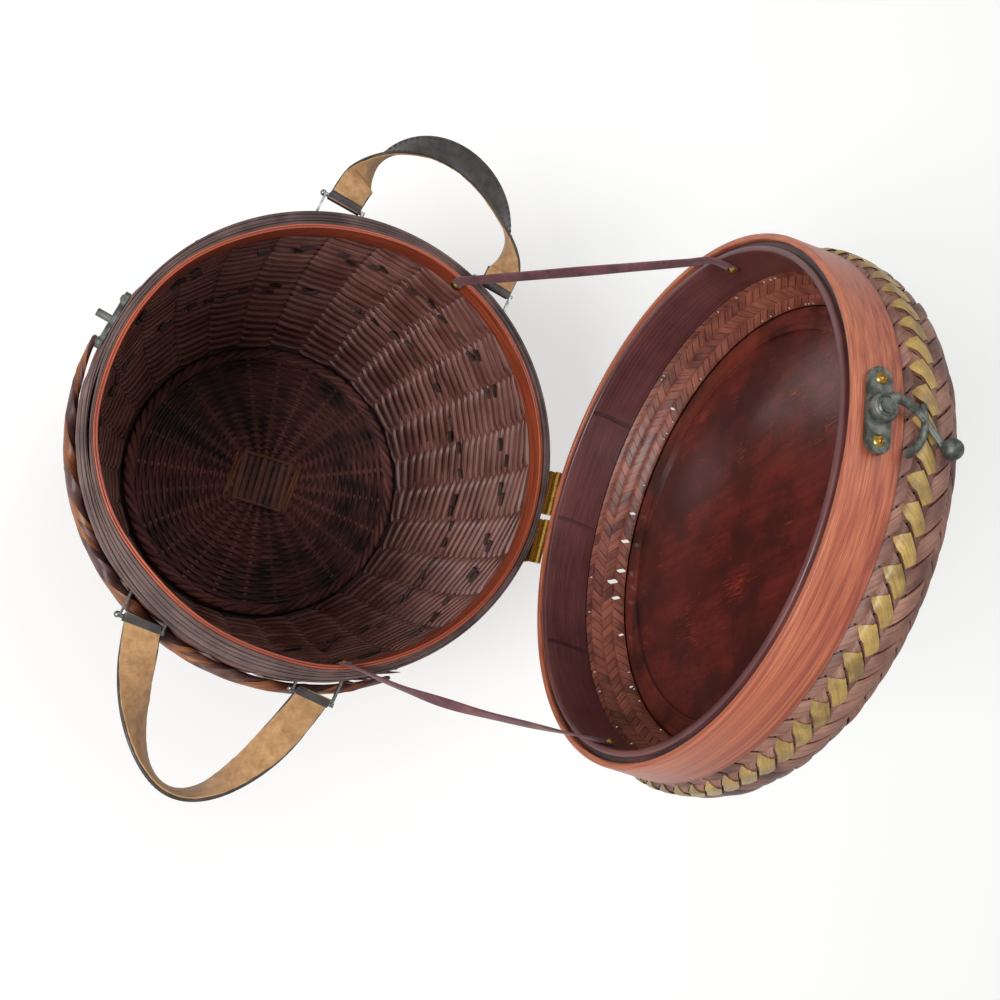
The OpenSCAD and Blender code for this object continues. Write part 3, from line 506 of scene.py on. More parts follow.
# Where one rod runs out and the next begins, their cut ends stand in from the wall in two rings.
end_count = 2 * wall_stakes
end_turn = (np.repeat(np.arange(2 * wall_stakes), 2) + 0.15 + 0.7 * chance.random(2 * end_count)
            ) * 2 * np.pi / wall_stakes
end_z = np.repeat([99.0, 172.0], end_count) + 14 * (chance.random(2 * end_count) - 0.5)
end_run = np.linspace(-1, 1, 5)[None]
end_turns = end_turn[:, None] + end_run * 3.4 / belly_r
end_lift = 4 * (chance.random((2 * end_count, 1)) - 0.3)
end_in = 2.6 + 1.8 * chance.random((2 * end_count, 1)) * (0.5 + 0.5 * end_run)
end_paths = circles(wall_r(end_z)[:, None] - wall_swing - end_in,
                    end_z[:, None] + end_lift * end_run, end_turns)
rods("wall_cut_rod_ends", end_paths, outward(end_paths), round_section(1.2, 1.6, 6),
     cut_end_stain_and_core_shade)

# Rim
# Thin bamboo strips are bent into hoops and pegged together: two bright strips inside and
# weathered ones outside, which have left the round and parted on the latch side.
rim_out_r = 125.0
inner_r = rim_out_r - 7.4
rim_samples = 360
touch = 0.05
hinge_flat = 1.2
hinge_x = 4.0
hinge_reach = 28.0
rim_turns = np.arange(rim_samples) * 2 * np.pi / rim_samples


def bulge(turns, centre, half, power=2):
    """A smooth rise to 1 round the direction centre, falling away half degrees to both sides."""
    off = abs(np.angle(np.exp(1j * (turns - math.radians(centre))))) / math.radians(half)
    return np.exp(-off ** power)


def strip_profile(r0, r1, z0, z1, corner=0.5, flare=0.0):
    """Cross-section of a bent bamboo strip with rounded edges; flare widens its top."""
    t = np.linspace(0, np.pi / 2, 4)
    centres = [(r1 - corner, z1 - corner), (r0 + corner, z1 - corner),
               (r0 + corner, z0 + corner), (r1 - corner, z0 + corner)]
    rounds = [np.stack([r + corner * np.cos(t + n * np.pi / 2),
                        z + corner * np.sin(t + n * np.pi / 2)], -1)
              for n, (r, z) in enumerate(centres)]
    sides = []
    for n, part in enumerate(rounds):
        following = rounds[(n + 1) % 4]
        between = np.linspace(part[-1], following[0], 5)[1:-1]
        sides += [part, between]
    profile = np.concatenate(sides)
    profile[:, 0] += flare * (profile[:, 1] - z0) / (z1 - z0)
    return profile


def revolve(profile, samples=rim_samples, moved=0.0, widened=1.0, raised=0.0, part=1.0, start=0.0):
    """A closed profile of (radius, height) turned round the Z axis, all round or for one part
    of the turn. At each angle it can be moved out, widened about its middle and raised."""
    turns = start + np.arange(samples) * 2 * np.pi * part / (samples - (part < 1))
    middle = profile[:, 0].mean()
    stretch = np.broadcast_to(widened, samples)[:, None] * (profile[None, :, 0] - middle)
    radius = middle + stretch + np.broadcast_to(moved, samples)[:, None]
    height = profile[None, :, 1] + np.broadcast_to(raised, samples)[:, None]
    points = np.stack([radius * np.cos(turns)[:, None], radius * np.sin(turns)[:, None],
                       height], -1)
    grain = np.zeros_like(points)
    grain[..., :2] = profile[None]
    return points, tube_faces(points[None], part == 1.0), grain


red_hoop = cane("red_stained_bamboo_hoop", "#cc6844", "#9c4026", "#672215", fibre_mm=0.8,
                roughness=0.4, coat=0.3, streak="#4f1a12", streak_amount=0.75, broad_mm=2.5)
weathered_hoop = cane("weathered_bamboo_hoop", "#957d76", "#634a45", "#35272a", fibre_mm=0.45,
                      roughness=0.65, coat=0.0, patch_mm=26, streak="#1c1415",
                      streak_amount=0.6)

inner_line = (-4.2 * bulge(rim_turns, -20, 30, 4) - 2.2 * bulge(rim_turns, -158, 28, 4)
              + 0.9 * bulge(rim_turns, -76, 10) + 0.9 * bulge(rim_turns, 62, 25, 4))
for n, (r0, r1, top) in enumerate(((0.0, 1.15, 0.8), (1.22, 2.4, 0.2))):
    points, faces, grain = revolve(
        strip_profile(inner_r + r0, inner_r + r1, rim_h - hoop_h + 1, rim_h + top, 0.4),
        moved=inner_line, raised=0.15 * np.sin(5 * rim_turns + 2 * n))
    piece("rim_bright_hoop_%d" % (n + 1), points, faces, red_hoop, "basket",
          ["rim_inner_hoop"] if n == 0 else (), grain + 7.0 * n,
          np.repeat(0.75 - 0.25 * bulge(rim_turns, 150, 20), points.shape[1]))

band_inside = inner_r + 2.5 + inner_line
band_layers = 4
parted = 0.55 * bulge(rim_turns, -78, 11, 4)
tops = (0.9, 0.5, 0.7, 0.15)
hinge_side = (rim_turns > 0) & (rim_turns < np.pi)
for n in range(band_layers):
    low = band_inside + (rim_out_r - band_inside) * n / band_layers
    high = band_inside + (rim_out_r - band_inside) * (n + 1) / band_layers - 0.16
    wander = 0.3 * np.sin(2 * rim_turns + 1.7 * n) * (0 < n)
    low = low + wander + parted * (n == 2)
    high = high + 0.3 * np.sin(2 * rim_turns + 1.7 * (n + 1)) * (n < 3) - parted * (n == 1)
    if n == band_layers - 1:
        flat_r = (rim_out_r - hinge_flat) / np.maximum(np.sin(rim_turns), 0.5)
        at_hinge = abs(rim_out_r * np.cos(rim_turns) - hinge_x) < hinge_reach
        high = np.where(hinge_side & at_hinge, np.minimum(high, flat_r - 0.1), high)
    points, faces, grain = revolve(
        strip_profile(0, 1, rim_h - hoop_h, rim_h - tops[n], 0.22),
        moved=(low + high) / 2 - 0.5, widened=high - low,
        raised=0.22 * np.sin(3 * rim_turns + 2 * n) + 0.12 * np.sin(7 * rim_turns + n))
    node = {0: ["rim_middle_hoop"], 3: ["rim_outer_hoop"]}.get(n, ())
    # Painted light: each weathered hoop is paler on the side that faces the key light, round -50
    # degrees, and darker elsewhere.
    pale = 0.25 + 0.55 * bulge(rim_turns, -50, 70, 4)
    piece("rim_weathered_hoop_%d" % (n + 1), points, faces, weathered_hoop, "basket",
          node, grain * 7 + 11.0 * n, np.repeat(pale, points.shape[1]))

side_start = math.radians(-92)
side_turns = np.linspace(side_start, math.radians(22), 120)
side_full = (0.35 + 0.65 * np.clip(1.2 * bulge(side_turns, -70, 34, 4), 0, 1)) * np.clip(
    np.linspace(0.25, 14, 120), 0, 1) * np.clip(np.linspace(12, 0.25, 120), 0, 1)
for n in range(2):
    thick = 1.75 * side_full
    points, faces, grain = revolve(
        strip_profile(0, 1, rim_h - 7.7, rim_h - 1.2 - 0.5 * n, 0.25), 120,
        rim_out_r + touch + (n + 0.5) * thick - 0.5, thick - 0.1,
        0.3 * np.sin(4 * side_turns + n), part=114 / 360, start=side_start)
    piece("rim_side_strip_%d" % (n + 1), points, faces, weathered_hoop, "basket",
          ["rim_side_hoop"] if n == 0 else (), grain + 5.0 * n,
          np.full(points.shape[:2], 0.75))

# Rim border
# Flat splints wind round each other outside the wall on the latch side. They thin out at both
# ends, where a few loose tips stick out.
plum_splint = cane("plum_border_splint", "#8f6a62", "#6a4540", "#3f2624", fibre_mm=0.6,
                   roughness=0.5, patch_mm=20, streak="#2b1917", streak_amount=0.4)
orange_rod = cane("orange_border_splint", "#bd7a44", "#94532e", "#5a2f20", fibre_mm=0.7,
                  roughness=0.42, patch_mm=24, streak="#4a2418", streak_amount=0.3)
border_from, border_to = math.radians(-99), math.radians(32)
border_turns = np.linspace(border_from, border_to, 260)
border_share = np.linspace(0, 1, 260)
thin_ends = np.sin(np.pi * border_share) ** 0.4
for name, strands, material in (("orange", (0, 1.35), orange_rod),
                                ("plum", (0.7, 2.1, 2.75), plum_splint)):
    phase = (3.6 * 2 * np.pi * border_share)[None] + 2.1 * np.array(strands)[:, None]
    radius = 131.3 + 2.7 * thin_ends * np.cos(phase)
    height = rim_h - 25 + 6.5 * thin_ends * np.sin(phase)
    paths = circles(radius, height, np.broadcast_to(border_turns, phase.shape))
    around = (outward(paths) * (-2.7 * np.sin(phase))[..., None]
              + np.array([0, 0, 1.0]) * (6.5 * np.cos(phase))[..., None])
    size = np.broadcast_to((0.25 + 0.75 * thin_ends)[None, :, None], (*phase.shape, 2))
    rods("rim_border_%s_splints" % name, paths, around, round_section(3.4, 1.05, 10), material,
         ["rim_border"] if name == "orange" else (), scale=size)

tip_count = 4
tip_turns = np.radians(np.array([21, 24, 27, 31]))[:, None]
tip_run = np.linspace(0, 1, 7)[None]
tip_paths = circles(126.5 + 3.0 * tip_run * np.array([1, 0.6, 0.9, 0.7])[:, None],
                    rim_h - 24 + 14 * tip_run + 0 * tip_turns,
                    tip_turns + np.radians(4.5) * (tip_run - 0.5))
tip_size = np.broadcast_to((1 - 0.85 * tip_run ** 2)[..., None], (tip_count, 7, 2))
rods("rim_border_loose_tips", tip_paths, outward(tip_paths), round_section(0.8, 2.4, 6),
     plum_splint, scale=tip_size)

# Keeper, hinges, tacks and pins
# The keeper is cast bronze gone green, the butt hinges are stamped brass with round-headed
# screws, and the handle pins are steel wire.


grime_brown = "#1d1a14"


def metal(name, base, worn, roughness, spread, grime_amount=0.35, scale_mm=3.0, bump_mm=0.03,
          metallic=1.0):
    """Old metal: worn spots shine through a duller skin, and grime sits in slow patches."""
    material, tree = new_material(name)
    place = add(tree, "ShaderNodeTexCoord").outputs["Object"]
    spots = add(tree, "ShaderNodeTexNoise", {"Vector": place, "Scale": 1 / (scale_mm * MM),
                                             "Detail": 4.0, "Roughness": 0.65}).outputs["Fac"]
    pits = add(tree, "ShaderNodeTexNoise", {"Vector": place, "Scale": 4 / (scale_mm * MM),
                                            "Detail": 2.0}).outputs["Fac"]
    wear = add(tree, "ShaderNodeMapRange", {0: spots, 1: 0.42, 2: 0.62}).outputs[0]
    tone = add(tree, "ShaderNodeMix", {0: wear, 6: colour(base), 7: colour(worn)},
               data_type="RGBA").outputs[2]
    dirt = add(tree, "ShaderNodeMapRange", {0: spots, 1: 0.44, 2: 0.34, 3: 0.0,
                                            4: grime_amount}).outputs[0]
    tone = add(tree, "ShaderNodeMix", {0: dirt, 6: tone, 7: colour(grime_brown)},
               data_type="RGBA").outputs[2]
    rough = add(tree, "ShaderNodeMapRange", {0: spots, 1: 0.3, 2: 0.7, 3: roughness + spread,
                                             4: roughness - spread}).outputs[0]
    bump = add(tree, "ShaderNodeBump", {"Height": pits, "Distance": bump_mm * MM,
                                        "Strength": 0.6}).outputs[0]
    surface = add(tree, "ShaderNodeBsdfPrincipled",
                  {"Base Color": tone, "Roughness": rough, "Metallic": metallic,
                   "Normal": bump})
    add(tree, "ShaderNodeOutputMaterial", {"Surface": surface.outputs[0]})
    return material


bronze = metal("weathered_cast_bronze", "#4b4f49", "#7c8078", 0.5, 0.1, scale_mm=6.0,
               bump_mm=0.04, metallic=0.6, grime_amount=0.2)
brass = metal("stamped_brass", "#b08a3c", "#d3ad5c", 0.3, 0.1, scale_mm=2.0)
steel = metal("steel_wire", "#7d8080", "#a5a8a8", 0.35, 0.1, scale_mm=2.0)

for node in ("keeper_plate", "keeper_screws", "latch_plate", "latch_rivet"):
    repaint(node, bronze)
for node in ("basket_hinge_leaves", "basket_hinge_screws", "lid_hinge_leaves",
             "lid_hinge_screws", "hinge_pins", "basket_tacks", "lid_tacks", "latch_screws"):
    repaint(node, brass)
repaint("handle_pins", steel)


# The lid stands open. Its patterns and shapes are turned round the hinge line.
lid_seat = 0.9
lid_r = 127.5
open_deg = 92.0
knuckle_r = 1.9
hinge_y = lid_r - hinge_flat + touch + knuckle_r
hinge_z = rim_h + lid_seat - 0.5
slant = math.radians(18)


def ring_grain(name, pale, middle, deep, closed_lid=False, fibre_mm=0.5, roughness=0.5,
               coat=0.2, across=0.0, scratch=None):
    """Bamboo or lacquered wood on a solid of the model: fibres run round the Z axis, and on
    the lid the pattern is first turned back to the closed lid. With across above 0 they
    run straight over the panel instead, a little aslant, and scratches show the red below."""
    material, tree = new_material(name)
    place = add(tree, "ShaderNodeTexCoord").outputs["Object"]
    if closed_lid:
        moved = add(tree, "ShaderNodeVectorMath", {0: place, 1: (0, -hinge_y * MM,
                                                                 -hinge_z * MM)},
                    operation="ADD").outputs[0]
        turned = add(tree, "ShaderNodeMapping",
                     {"Vector": moved, "Rotation": (math.radians(open_deg), 0, 0)}).outputs[0]
        place = add(tree, "ShaderNodeVectorMath", {0: turned, 1: (0, hinge_y * MM,
                                                                  hinge_z * MM)},
                    operation="ADD").outputs[0]
    fine = 1 / (fibre_mm * MM)
    if across:
        slanted = add(tree, "ShaderNodeMapping",
                      {"Vector": place, "Rotation": (0, 0, slant)}).outputs[0]
        fibre = add(tree, "ShaderNodeVectorMath",
                    {0: slanted, 1: (fine * across, fine / 30, fine)}, operation="MULTIPLY")
        lines = add(tree, "ShaderNodeTexNoise", {"Vector": fibre.outputs[0], "Scale": 1.0,
                                                 "Detail": 4.0, "Roughness": 0.65})
    else:
        apart = add(tree, "ShaderNodeSeparateXYZ", {0: place})
        flat = add(tree, "ShaderNodeCombineXYZ", {0: apart.outputs[0], 1: apart.outputs[1]})
        radius = add(tree, "ShaderNodeVectorMath", {0: flat.outputs[0]},
                     operation="LENGTH").outputs["Value"]
        fibre = add(tree, "ShaderNodeVectorMath",
                    {0: place, 1: (fine / 60, fine / 60, fine)}, operation="MULTIPLY")
        depth = add(tree, "ShaderNodeMath", {0: radius, 1: fine}, operation="MULTIPLY")
        lines = add(tree, "ShaderNodeTexNoise",
                    {"Vector": fibre.outputs[0], "W": depth.outputs[0], "Scale": 1.0,
                     "Detail": 3.0, "Roughness": 0.6}, noise_dimensions="4D")
    patches = add(tree, "ShaderNodeTexNoise", {"Vector": place, "Scale": 28.0,
                                               "Detail": 4.0, "Roughness": 0.65}).outputs["Fac"]
    lines_fac = add(tree, "ShaderNodeMapRange", {0: lines.outputs["Fac"], 1: 0.36,
                                                 2: 0.64}).outputs[0]
    patch_fac = add(tree, "ShaderNodeMapRange", {0: patches, 1: 0.4, 2: 0.62}).outputs[0]
    ground = add(tree, "ShaderNodeMix", {0: patch_fac, 6: colour(deep), 7: colour(middle)},
                 data_type="RGBA").outputs[2]
    high = add(tree, "ShaderNodeMath", {0: lines_fac, 1: patch_fac},
               operation="MULTIPLY").outputs[0]
    body = add(tree, "ShaderNodeMix", {0: high, 6: ground, 7: colour(pale)},
               data_type="RGBA").outputs[2]
    if scratch:
        marks = add(tree, "ShaderNodeVectorMath", {0: slanted, 1: (1100.0, 110.0, 1100.0)},
                    operation="MULTIPLY").outputs[0]
        marks = add(tree, "ShaderNodeTexNoise", {"Vector": marks, "Scale": 1.0,
                                                 "Detail": 2.0}).outputs["Fac"]
        sore = add(tree, "ShaderNodeTexNoise", {"Vector": place, "Scale": 45.0,
                                                "Detail": 3.0}).outputs["Fac"]
        marks = add(tree, "ShaderNodeMath", {0: marks, 1: sore}, operation="ADD").outputs[0]
        marks = add(tree, "ShaderNodeMapRange", {0: marks, 1: 1.22, 2: 1.34, 3: 0.0,
                                                 4: 0.7}).outputs[0]
        body = add(tree, "ShaderNodeMix", {0: marks, 6: body, 7: colour(scratch)},
                   data_type="RGBA").outputs[2]
    bump = add(tree, "ShaderNodeBump", {"Height": lines_fac, "Distance": 0.06 * MM,
                                        "Strength": 0.6}).outputs[0]
    surface = add(tree, "ShaderNodeBsdfPrincipled",
                  {"Base Color": body, "Roughness": roughness, "Normal": bump,
                   "Coat Weight": coat, "Coat Roughness": 0.15})
    add(tree, "ShaderNodeOutputMaterial", {"Surface": surface.outputs[0]})
    return material


foot_bamboo = ring_grain("dark_bamboo_ring", "#7d6a66", "#55423f", "#33272a", coat=0.0,
                         roughness=0.6)
repaint("foot_ring", foot_bamboo)
repaint("rim_pegs", foot_bamboo)

# Lid shell
# A wide bamboo band is bent round the lid's edge with a dark strip inside it, and a dome of
# flat strips woven two over, two under springs from behind the band.
band_h = 23.5
band_t = 3.2
band_flare = 1.2
hinge_leaf_top = 12.3


def opened(points):
    """The closed lid's points, with heights from the lid's edge, turned to the open lid: they
    go round the hinge line by the opening angle."""
    a = math.radians(open_deg)
    y = points[..., 1] - hinge_y
    z = points[..., 2] + rim_h + lid_seat - hinge_z
    return np.stack([points[..., 0], hinge_y + math.cos(a) * y + math.sin(a) * z,
                     hinge_z - math.sin(a) * y + math.cos(a) * z], -1)


band_bamboo = cane("orange_red_bamboo_band", "#d98a5c", "#b05642", "#7e332d", fibre_mm=0.3,
                   roughness=0.42, coat=0.3, streak="#8a3026", streak_amount=0.7,
                   broad_mm=1.5)
plum_hoop = cane("plum_stained_bamboo_hoop", "#7d4a48", "#5e3032", "#3a1c20", fibre_mm=0.5,
                 roughness=0.38, coat=0.35, patch_mm=40, streak="#2a1216", streak_amount=0.3)
points, faces, grain = revolve(
    strip_profile(lid_r - band_t, lid_r, 0, band_h, 0.8, band_flare))
near_hinge = ((abs(points[..., 0] - hinge_x) < hinge_reach) & (points[..., 1] > 0)
              & (points[..., 2] < hinge_leaf_top))
points[..., 1] = np.where(near_hinge, np.minimum(points[..., 1], lid_r - hinge_flat),
                          points[..., 1])
edge_shade = np.broadcast_to(0.85 - 0.55 * grain[..., 1] / band_h, points.shape[:2])
piece("lid_bamboo_band", opened(points), faces, band_bamboo, "lid",
      ["lid_band"], grain, edge_shade)

lid_inner_r = rim_out_r - 6.4
lid_inner_h = 26
points, faces, grain = revolve(
    strip_profile(lid_inner_r, lid_inner_r + band_t, 0, lid_inner_h, 0.9))
piece("lid_dark_inner_hoop", opened(points), faces, plum_hoop, "lid",
      ["lid_inner_hoop"], grain, shades(1, *points.shape[:2]))

# The hoop's bamboo has joints, which show as low ridges across it.
ridge_turns = np.radians([88, 52, 118, -60])[:, None]
ridge_h = np.linspace(1, lid_inner_h - 1, 9)[None]
ridge_paths = circles(np.full((4, 9), lid_inner_r), ridge_h + 0 * ridge_turns,
                      ridge_turns + 0.006 * np.sin(ridge_h / 5))
points, faces, grain = sweep(ridge_paths, outward(ridge_paths), round_section(0.5, 1.3, 6), False)
piece("lid_hoop_joints", opened(points), faces, plum_hoop, "lid", (), grain,
      np.zeros(points.shape[:3]))

shell_r = lid_r + 2.5
shell_foot_r = lid_r - 1.6
shell_foot_h = band_h + 0.9
shell_side_h = 30.0
shoulder_r = 20.0
shoulder_h = 38.0
shoulder_end = math.radians(84)
strip_t = 0.7
weave_swing = 0.8
lid_strips = 68
strips_met = 9


def shell_at(u):
    """Middle line of the dome for u from 0 to 1: a slope out from the band, a short upright
    side, and the shoulder's arc. Returns radius and height."""
    slope = math.hypot(shell_r - shell_foot_r, shell_side_h - shell_foot_h)
    side = shoulder_h - shell_side_h
    length = u * (slope + side + shoulder_r * shoulder_end)
    a = np.clip((length - slope - side) / shoulder_r, 0, None)
    radius = np.where(length < slope, shell_foot_r + (shell_r - shell_foot_r) * length / slope,
                      np.where(length < slope + side, shell_r,
                               shell_r - shoulder_r + shoulder_r * np.cos(a)))
    height = np.where(length < slope, shell_foot_h
                      + (shell_side_h - shell_foot_h) * length / slope,
                      np.where(length < slope + side, shell_side_h + length - slope,
                               shoulder_h + shoulder_r * np.sin(a)))
    return np.stack([radius, height], -1)


def shell_out(u):
    """Unit direction out of the dome at u, square to its middle line."""
    d = shell_at(np.minimum(1, u + 0.01)) - shell_at(np.maximum(0, u - 0.01))
    return unit(np.stack([d[..., 1], -d[..., 0]], -1))


# A strip's corners: how far to the side, in half widths, and how high, in thicknesses.
aside = np.array([-1, -0.55, 0, 0.55, 1, 1, 0.55, 0, -0.55, -1])
strip_rise = np.array([-0.5, -0.5, -0.5, -0.5, -0.5, 0.2, 0.5, 0.6, 0.5, 0.2])


def strips(at, out, turn, swing, half_deg, thickness):
    """Flat strips on a turned surface. Each row of sections is at the middle line plus the
    swing along out, and is half_deg wide to both sides; the strip's back is a little crowned.
    Arrays are (strips, sections, 1 or corners). Returns points, faces and fibre coordinates."""
    rise = strip_rise * thickness
    place = at + (swing + rise)[..., None] * out
    angle = turn + np.radians(half_deg) * aside
    points = np.stack([place[..., 0] * np.cos(angle), place[..., 0] * np.sin(angle),
                       place[..., 1]], -1)
    middle = points.mean(2)
    steps = np.linalg.norm(np.diff(middle, axis=1), axis=-1)
    along = np.concatenate([np.zeros((len(middle), 1)), np.cumsum(steps, 1)], 1)
    grain = np.zeros_like(points)
    grain[..., 0] = aside * half_deg * 2.2 + 37.0 * np.arange(len(points))[:, None, None]
    grain[..., 1] = rise
    grain[..., 2] = along[..., None]
    return points, tube_faces(points, False), grain


def twill(count, met, family, u):
    """Where one family's strips run and swing: a strip turns met / 2 of the strips' spacing
    each way, and passes over two and under two of the other family, all strips alike."""
    i = np.arange(count)[:, None, None]
    turn = 2 * np.pi / count * (i + family * met / 2 * (u - 0.5))
    swing = np.tanh(1.8 * np.cos(np.pi * met / 2 * u)) / np.tanh(1.8)
    return turn, -family * swing + 0 * turn


shell_strip = cane("smoked_bamboo_strip", "#b08470", "#87594b", "#4f302b", fibre_mm=0.5,
                   roughness=0.5, patch_mm=18, streak="#3a2421", streak_amount=0.5)
gold_strip = cane("gilded_bamboo_strip", "#d2ae62", "#a98a4a", "#7a6138", fibre_mm=0.5,
                  roughness=0.36, coat=0.3, patch_mm=7, streak="#5c4722", streak_amount=0.35)
shell_u = np.linspace(0, 1, 55)[None, :, None] + np.zeros((lid_strips, 1, 1))
strip_half = 360 / lid_strips * 0.44
for family, name in ((1, "left"), (-1, "right")):
    turn, swing = twill(lid_strips, strips_met, family, shell_u)
    loose = chance.random((lid_strips, 1, 1)) * np.sin(np.pi * shell_u) ** 4
    points, faces, grain = strips(shell_at(shell_u), shell_out(shell_u), turn,
                                  weave_swing * swing * (1 + 0.8 * loose) + 0.3 * loose,
                                  strip_half, strip_t)
    piece("lid_twill_" + name, opened(points), faces, shell_strip, "lid",
          ["lid_strips_" + name], grain, shades(*points.shape[:3]))

# A gilded patch lies on each strip's second float. Its ends are square to the strip, which
# runs over the dome at strip_slope from the level.
strip_slope = math.radians(39)
strip_half_l = math.radians(strip_half) * shell_r
strip_l = 70.0
gold_t = 0.35
gold_lift = 0.3
gold_skew = -strip_half_l * math.cos(strip_slope) / strip_l
gold_u = (2 / strips_met * np.linspace(0.6, 1.4, 13)[None, :, None] + gold_skew * aside
          + np.zeros((lid_strips, 1, 1)))
turn, swing = twill(lid_strips, strips_met, 1, gold_u)
points, faces, grain = strips(shell_at(gold_u), shell_out(gold_u), turn,
                              weave_swing * swing + strip_t + gold_lift,
                              0.96 * strip_half, gold_t)
dull_side = bulge(np.arctan2(points[..., 1], points[..., 0]), -20, 40, 2)
piece("lid_gold_patches", opened(points), faces, gold_strip, "lid",
      ["lid_gold_strips"], grain,
      np.clip(shades(*points.shape[:3]).reshape(dull_side.shape) - 0.5 * dull_side, 0, 1))

# Latch arm
# Cast in one piece: a disc round the rivet, an arm that sweeps out to a ball, and a hook that
# curls back round the place of the keeper's post.
latch_dir = math.radians(-102)
latch_h = 9.8
plate_w = 11.0
plate_t = 2.4
latch_back = lid_r + band_flare * (latch_h + plate_w / 2) / band_h + touch
arm_lift = plate_t + 1.5
arm_half_t = 1.25
hook_r = 19.25
arm_end = (8.3, hook_r + 11)
ball_r = 4.3


def at_latch(points):
    """Latch points, X round the lid, Y up the lid and Z outwards, moved to the open lid."""
    r = latch_back + points[..., 2]
    x = r * math.cos(latch_dir) - points[..., 0] * math.sin(latch_dir)
    y = r * math.sin(latch_dir) + points[..., 0] * math.cos(latch_dir)
    return opened(np.stack([x, y, latch_h + points[..., 1]], -1))


def smooth_path(knots, samples):
    """A Catmull-Rom curve through the knots: each span is the cubic whose slope at a knot is
    half the way between that knot's neighbours."""
    knots = np.asarray(knots, float)
    padded = np.concatenate([[2 * knots[0] - knots[1]], knots, [2 * knots[-1] - knots[-2]]])
    s = np.linspace(0, len(knots) - 1, samples)
    k = np.minimum(s.astype(int), len(knots) - 2)
    t = (s - k)[:, None]
    a, b, c, d = (padded[k + n] for n in range(4))
    return 0.5 * (2 * b + (c - a) * t + (2 * a - 5 * b + 4 * c - d) * t ** 2
                  + (3 * b - a - 3 * c + d) * t ** 3)


def cast_bar(name, knots, size, node=()):
    """A bar with a rounded section along a smooth path. Each pair of size is a share of the
    length and the half width there."""
    path = smooth_path([(x, y, arm_lift + 1.2) for x, y in knots], 41)
    share = np.linspace(0, 1, 41)
    scale = np.stack([np.interp(share, *zip(*size)), np.full(41, arm_half_t)], -1)
    up = at_latch(path + np.array([0, 0, 1.0])) - at_latch(path)
    points, faces, grain = sweep(at_latch(path)[None], np.cross(
        unit(np.gradient(at_latch(path), axis=0)), up)[None], round_section(1, 1, 16), False,
        scale[None])
    piece(name, points, faces, bronze, "latch", node)


cast_bar("latch_arm_sweep", [(-3.4, 1.5), (-5.4, 4.6), (-5.6, 8.6), (-3.2, hook_r - 3.2),
                             (0.6, hook_r + 1.6), (4.6, hook_r + 6.4), arm_end],
         [(0, 2.6), (0.5, 1.9), (0.85, 1.5), (1, 2.6)], ["latch_arm"])
cast_bar("latch_arm_hook", [(hook_r * math.cos(a), hook_r * math.sin(a))
                            for a in np.radians((112, 92, 72, 52, 34))],
         [(0, 1.4), (0.7, 1.8), (1, 1.9)])
rounds = np.linspace(0.02, np.pi - 0.02, 17)
ball = np.stack([arm_end[0] - ball_r * np.cos(rounds), arm_end[1] + 0 * rounds,
                 arm_lift + 4.0 + 0 * rounds], -1)
points, faces, grain = sweep(at_latch(ball)[None], (at_latch(ball + np.array([0, 0, 1.0]))
                                                    - at_latch(ball))[None],
                             round_section(1, 1, 20), False,
                             np.stack([ball_r * np.sin(rounds)] * 2, -1)[None])
piece("latch_arm_ball", points, faces, bronze, "latch")
rounds = np.linspace(0, np.pi / 2, 6)
disc = np.concatenate([[[2.1, 0.05], [5.7, 0.05]],
                       np.stack([4.9 + 0.8 * np.cos(rounds), 1.5 + 0.8 * np.sin(rounds)], -1),
                       [[4.0, 1.9], [3.6, 2.4], [2.1, 2.5]]])
points, faces, grain = revolve(disc, 72, raised=arm_lift)
piece("latch_arm_disc", at_latch(points), faces, bronze, "latch")

# Lid lining and panels
# Inside, narrow strips in the same weave slope from the dark hoop to a lath ring, which holds
# a lacquered board. A second board and ring close the dome outside. Where strips of the
# lining have parted, small glowing flakes are painted light standing for daylight behind.
lining_count = 124
lining_met = 7
lining_t = 0.5
lining_swing = 0.45
flake_depth = 0.95
panel_r = 98
cone_low = np.array([lid_inner_r + 1.2, lid_inner_h + 0.6])
cone_high = np.array([panel_r + 11, 44.0])
cone_out = np.array([cone_high[1] - cone_low[1], cone_low[0] - cone_high[0]])
cone_out = cone_out / np.linalg.norm(cone_out)
lining_strip = cane("red_stained_lining_strip", "#b06a52", "#7c3a2c", "#431c1b",
                    fibre_mm=0.4, roughness=0.4, coat=0.25, patch_mm=16,
                    streak="#2a1212", streak_amount=0.4)
lining_u = np.linspace(0, 1, 29)[None, :, None] + np.zeros((lining_count, 1, 1))
cone_at = cone_low + lining_u[..., None] * (cone_high - cone_low)
cone_face = np.broadcast_to(cone_out, cone_at.shape)
for family, name in ((1, "left"), (-1, "right")):
    turn, swing = twill(lining_count, lining_met, family, lining_u)
    points, faces, grain = strips(cone_at, cone_face, turn, lining_swing * swing,
                                  360 / lining_count * 0.45, lining_t)
    piece("lid_lining_" + name, opened(points), faces, lining_strip, "lid",
          ["lining_strips_" + name], grain, shades(*points.shape[:3]))

daylight, tree = new_material("painted_daylight_glow_between_strips")
# Painted light: a glow that stands for daylight seen through the gaps.
shine = add(tree, "ShaderNodeEmission", {"Color": colour("#efece7"), "Strength": 0.9})
add(tree, "ShaderNodeOutputMaterial", {"Surface": shine.outputs[0]})
